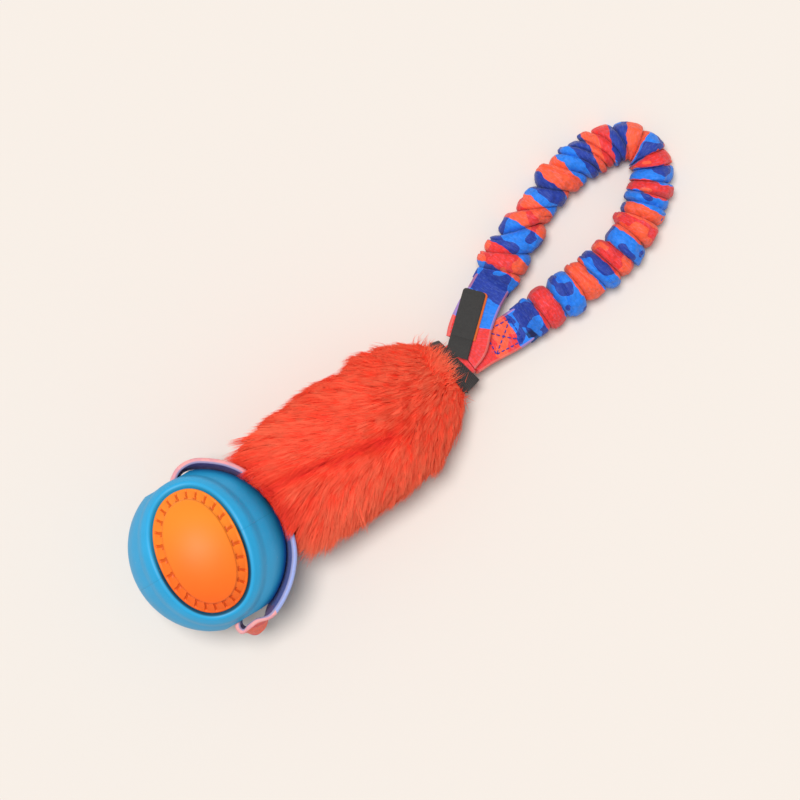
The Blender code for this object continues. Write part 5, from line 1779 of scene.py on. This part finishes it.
class TOY_OT_tails(bpy.types.Operator):
    """Make the two printed tails of the handle and their boxes of stitching"""

    bl_idname = "toy.tails"
    bl_label = "Tails"

    def execute(self, context):
        settings = context.scene.toy_fabric
        left, right = tail_routes()
        # Pale edges of the tails, a painted highlight
        pale = linear(240, 140, 130)
        left_bands, left_partners = ((-8.0, "red"), (13.5, "blue"), (26.0, "navy")), ("red", "blue", "navy")
        right_bands, right_partners = ((-8.0, "orange"), (22.5, "blue")), ("red", "navy")
        for side, route, bands, partners, share, facing in (
                ("left", left, left_bands, left_partners, 0.66, -1.0),
                ("right", right, right_bands, right_partners, 0.62, 1.0)):
            route = read_route(route, np.linspace(0.0, lengths_of(route)[-1], TAIL_ROWS))
            tail = make_tail(side, route, facing)
            cloth = printed_cloth(settings, side + " tail cloth", bands, partners, (7.0, pale), 1.6)
            tail.data.materials.append(cloth)
            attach(tail, "handle")
            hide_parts("tail_" + side)
            box = make_box(side, route, share, facing)
            box.data.materials.append(thread("navy thread, " + side, tuple(settings.navy)))
            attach(box, "handle")
            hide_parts("box_stitch_" + side)
        return {"FINISHED"}


class TOY_OT_loop(bpy.types.Operator):
    """Make the ruched sleeve of the hand loop and the elastic cord inside it"""

    bl_idname = "toy.loop"
    bl_label = "Hand loop"

    def execute(self, context):
        settings = context.scene.toy_fabric
        sleeve = make_sleeve(settings)
        crests = [fold[0] for fold in FOLDS]
        bands = [(-8.0, FOLD_COLOURS[0])]
        for k in range(1, len(crests)):
            bands.append(((crests[k - 1] + crests[k]) / 2.0, FOLD_COLOURS[k]))
        # The folds' valleys take painted shade
        cloth = printed_cloth(settings, "printed sleeve", bands, FOLD_PARTNERS, None, 1.0, 10.0,
                              folded=True)
        sleeve.data.materials.append(cloth)
        cord = make_cord()
        cord.data.materials.append(elastic_cover())
        for piece, node, slot in ((sleeve, "ruched_sleeve", "printed_fabric"),
                                  (cord, "bungee_cord", "white_elastic")):
            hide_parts(node)
            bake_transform(piece)
        return {"FINISHED"}


class TOY_OT_label(bpy.types.Operator):
    """Make the folded label: a bare dark face on an orange backing, and its sewn-in foot"""

    bl_idname = "toy.label"
    bl_label = "Label"

    def execute(self, context):
        left, _ = tail_routes()
        foot, tip = [np.array((HANDLE_ROOT_X + x, y, 0.0)) for x, y in LABEL_ROUTE]
        for name, node, slot, width, shift, lift, colours in (
                ("backing_label", "label_backing", "label_orange", LABEL_WIDTH + LABEL_EDGE,
                 -LABEL_EDGE / 2.0, 0.0, (linear(214, 92, 30), linear(244, 128, 60))),
                ("face_label", "label_face", "label_black", LABEL_WIDTH, 0.0, LABEL_THICKNESS + 0.39,
                 (linear(44, 43, 42), linear(72, 70, 68)))):
            rows, cloth = label_rows(left, foot, tip, width, shift, lift)
            piece = closed_rows(name, rows, {"cloth": cloth * MM}, 60.0)
            piece.data.materials.append(label_cloth(name.replace("_", " "), *colours))
            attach(piece, "label")
            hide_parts(node)
        root = make_foot(rows[0].mean(0), (tip - foot) / np.linalg.norm(tip - foot))
        root.data.materials.append(label_cloth("label foot", linear(44, 43, 42), linear(72, 70, 68)))
        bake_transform(root)
        return {"FINISHED"}


class TOY_OT_stage(bpy.types.Operator):
    """Make the floor, the lamps, the world and the camera"""

    bl_idname = "toy.stage"
    bl_label = "Stage"

    def execute(self, context):
        settings = context.scene.toy_stage
        deselect()
        bpy.ops.mesh.primitive_plane_add(size=FLOOR_SIZE, location=(0.0, 0.0, 0.0))
        floor = context.active_object
        floor.name = "floor"
        finish = Finish("pale floor")
        tint = finish.noise(finish.place(), 400.0, 1.0)
        base = tuple(settings.floor)
        finish.colour(finish.ramp(tint, ((0.0, scaled(base, 0.995)), (1.0, base))))
        floor.data.materials.append(finish.surface(Roughness=1.0, Specular_IOR_Level=0.0))
        key = bpy.data.lights.new("key", "SUN")
        key.energy = settings.key
        key.angle = KEY_SPREAD
        lamp = bpy.data.objects.new("key", key)
        lamp.rotation_euler = KEY_TILT
        context.scene.collection.objects.link(lamp)
        world = bpy.data.worlds.new("soft surround")
        world.use_nodes = True
        shade = world.node_tree.nodes["Background"]
        shade.inputs["Color"].default_value = (1.0, 1.0, 1.0, 1.0)
        shade.inputs["Strength"].default_value = settings.fill
        context.scene.world = world
        camera = bpy.data.cameras.new("camera")
        camera.lens = settings.lens
        camera.sensor_width = SENSOR_WIDTH
        eye = bpy.data.objects.new("camera", camera)
        eye.location = [value * MM for value in CAMERA_PLACE]
        eye.rotation_euler = (0.0, 0.0, CAMERA_TURN)
        context.scene.collection.objects.link(eye)
        context.scene.camera = eye
        context.scene.view_settings.view_transform = "Standard"
        return {"FINISHED"}


class TOY_PT_panel(bpy.types.Panel):
    """Lists the steps that dress the toy"""

    bl_label = "Tug toy"
    bl_idname = "TOY_PT_panel"
    bl_space_type = "VIEW_3D"
    bl_region_type = "UI"
    bl_category = "Tug toy"

    def draw(self, context):
        for operator in OPERATORS:
            self.layout.operator(operator.bl_idname)
        for title in SETTINGS:
            column = self.layout.column()
            group = getattr(context.scene, title)
            for key in group.__annotations__:
                column.prop(group, key)


OPERATORS = (TOY_OT_ball, TOY_OT_strap, TOY_OT_fur, TOY_OT_filling, TOY_OT_collar, TOY_OT_tails, TOY_OT_loop,
             TOY_OT_label, TOY_OT_stage)
SETTINGS = {"toy_ball": BallSettings, "toy_fur": FurSettings, "toy_fabric": FabricSettings,
            "toy_stage": StageSettings}


def register():
    for group in SETTINGS.values():
        bpy.utils.register_class(group)
    for title, group in SETTINGS.items():
        setattr(bpy.types.Scene, title, PointerProperty(type=group))
    for operator in OPERATORS:
        bpy.utils.register_class(operator)
    bpy.utils.register_class(TOY_PT_panel)


def unregister():
    bpy.utils.unregister_class(TOY_PT_panel)
    for operator in reversed(OPERATORS):
        bpy.utils.unregister_class(operator)
    for title in SETTINGS:
        delattr(bpy.types.Scene, title)
    for group in SETTINGS.values():
        bpy.utils.unregister_class(group)


def main():
    register()
    bpy.ops.toy.stage()
    bpy.ops.toy.ball()
    bpy.ops.toy.strap()
    bpy.ops.toy.fur()
    bpy.ops.toy.filling()
    bpy.ops.toy.collar()
    bpy.ops.toy.tails()
    bpy.ops.toy.loop()
    bpy.ops.toy.label()


if __name__ == "__main__":
    main()
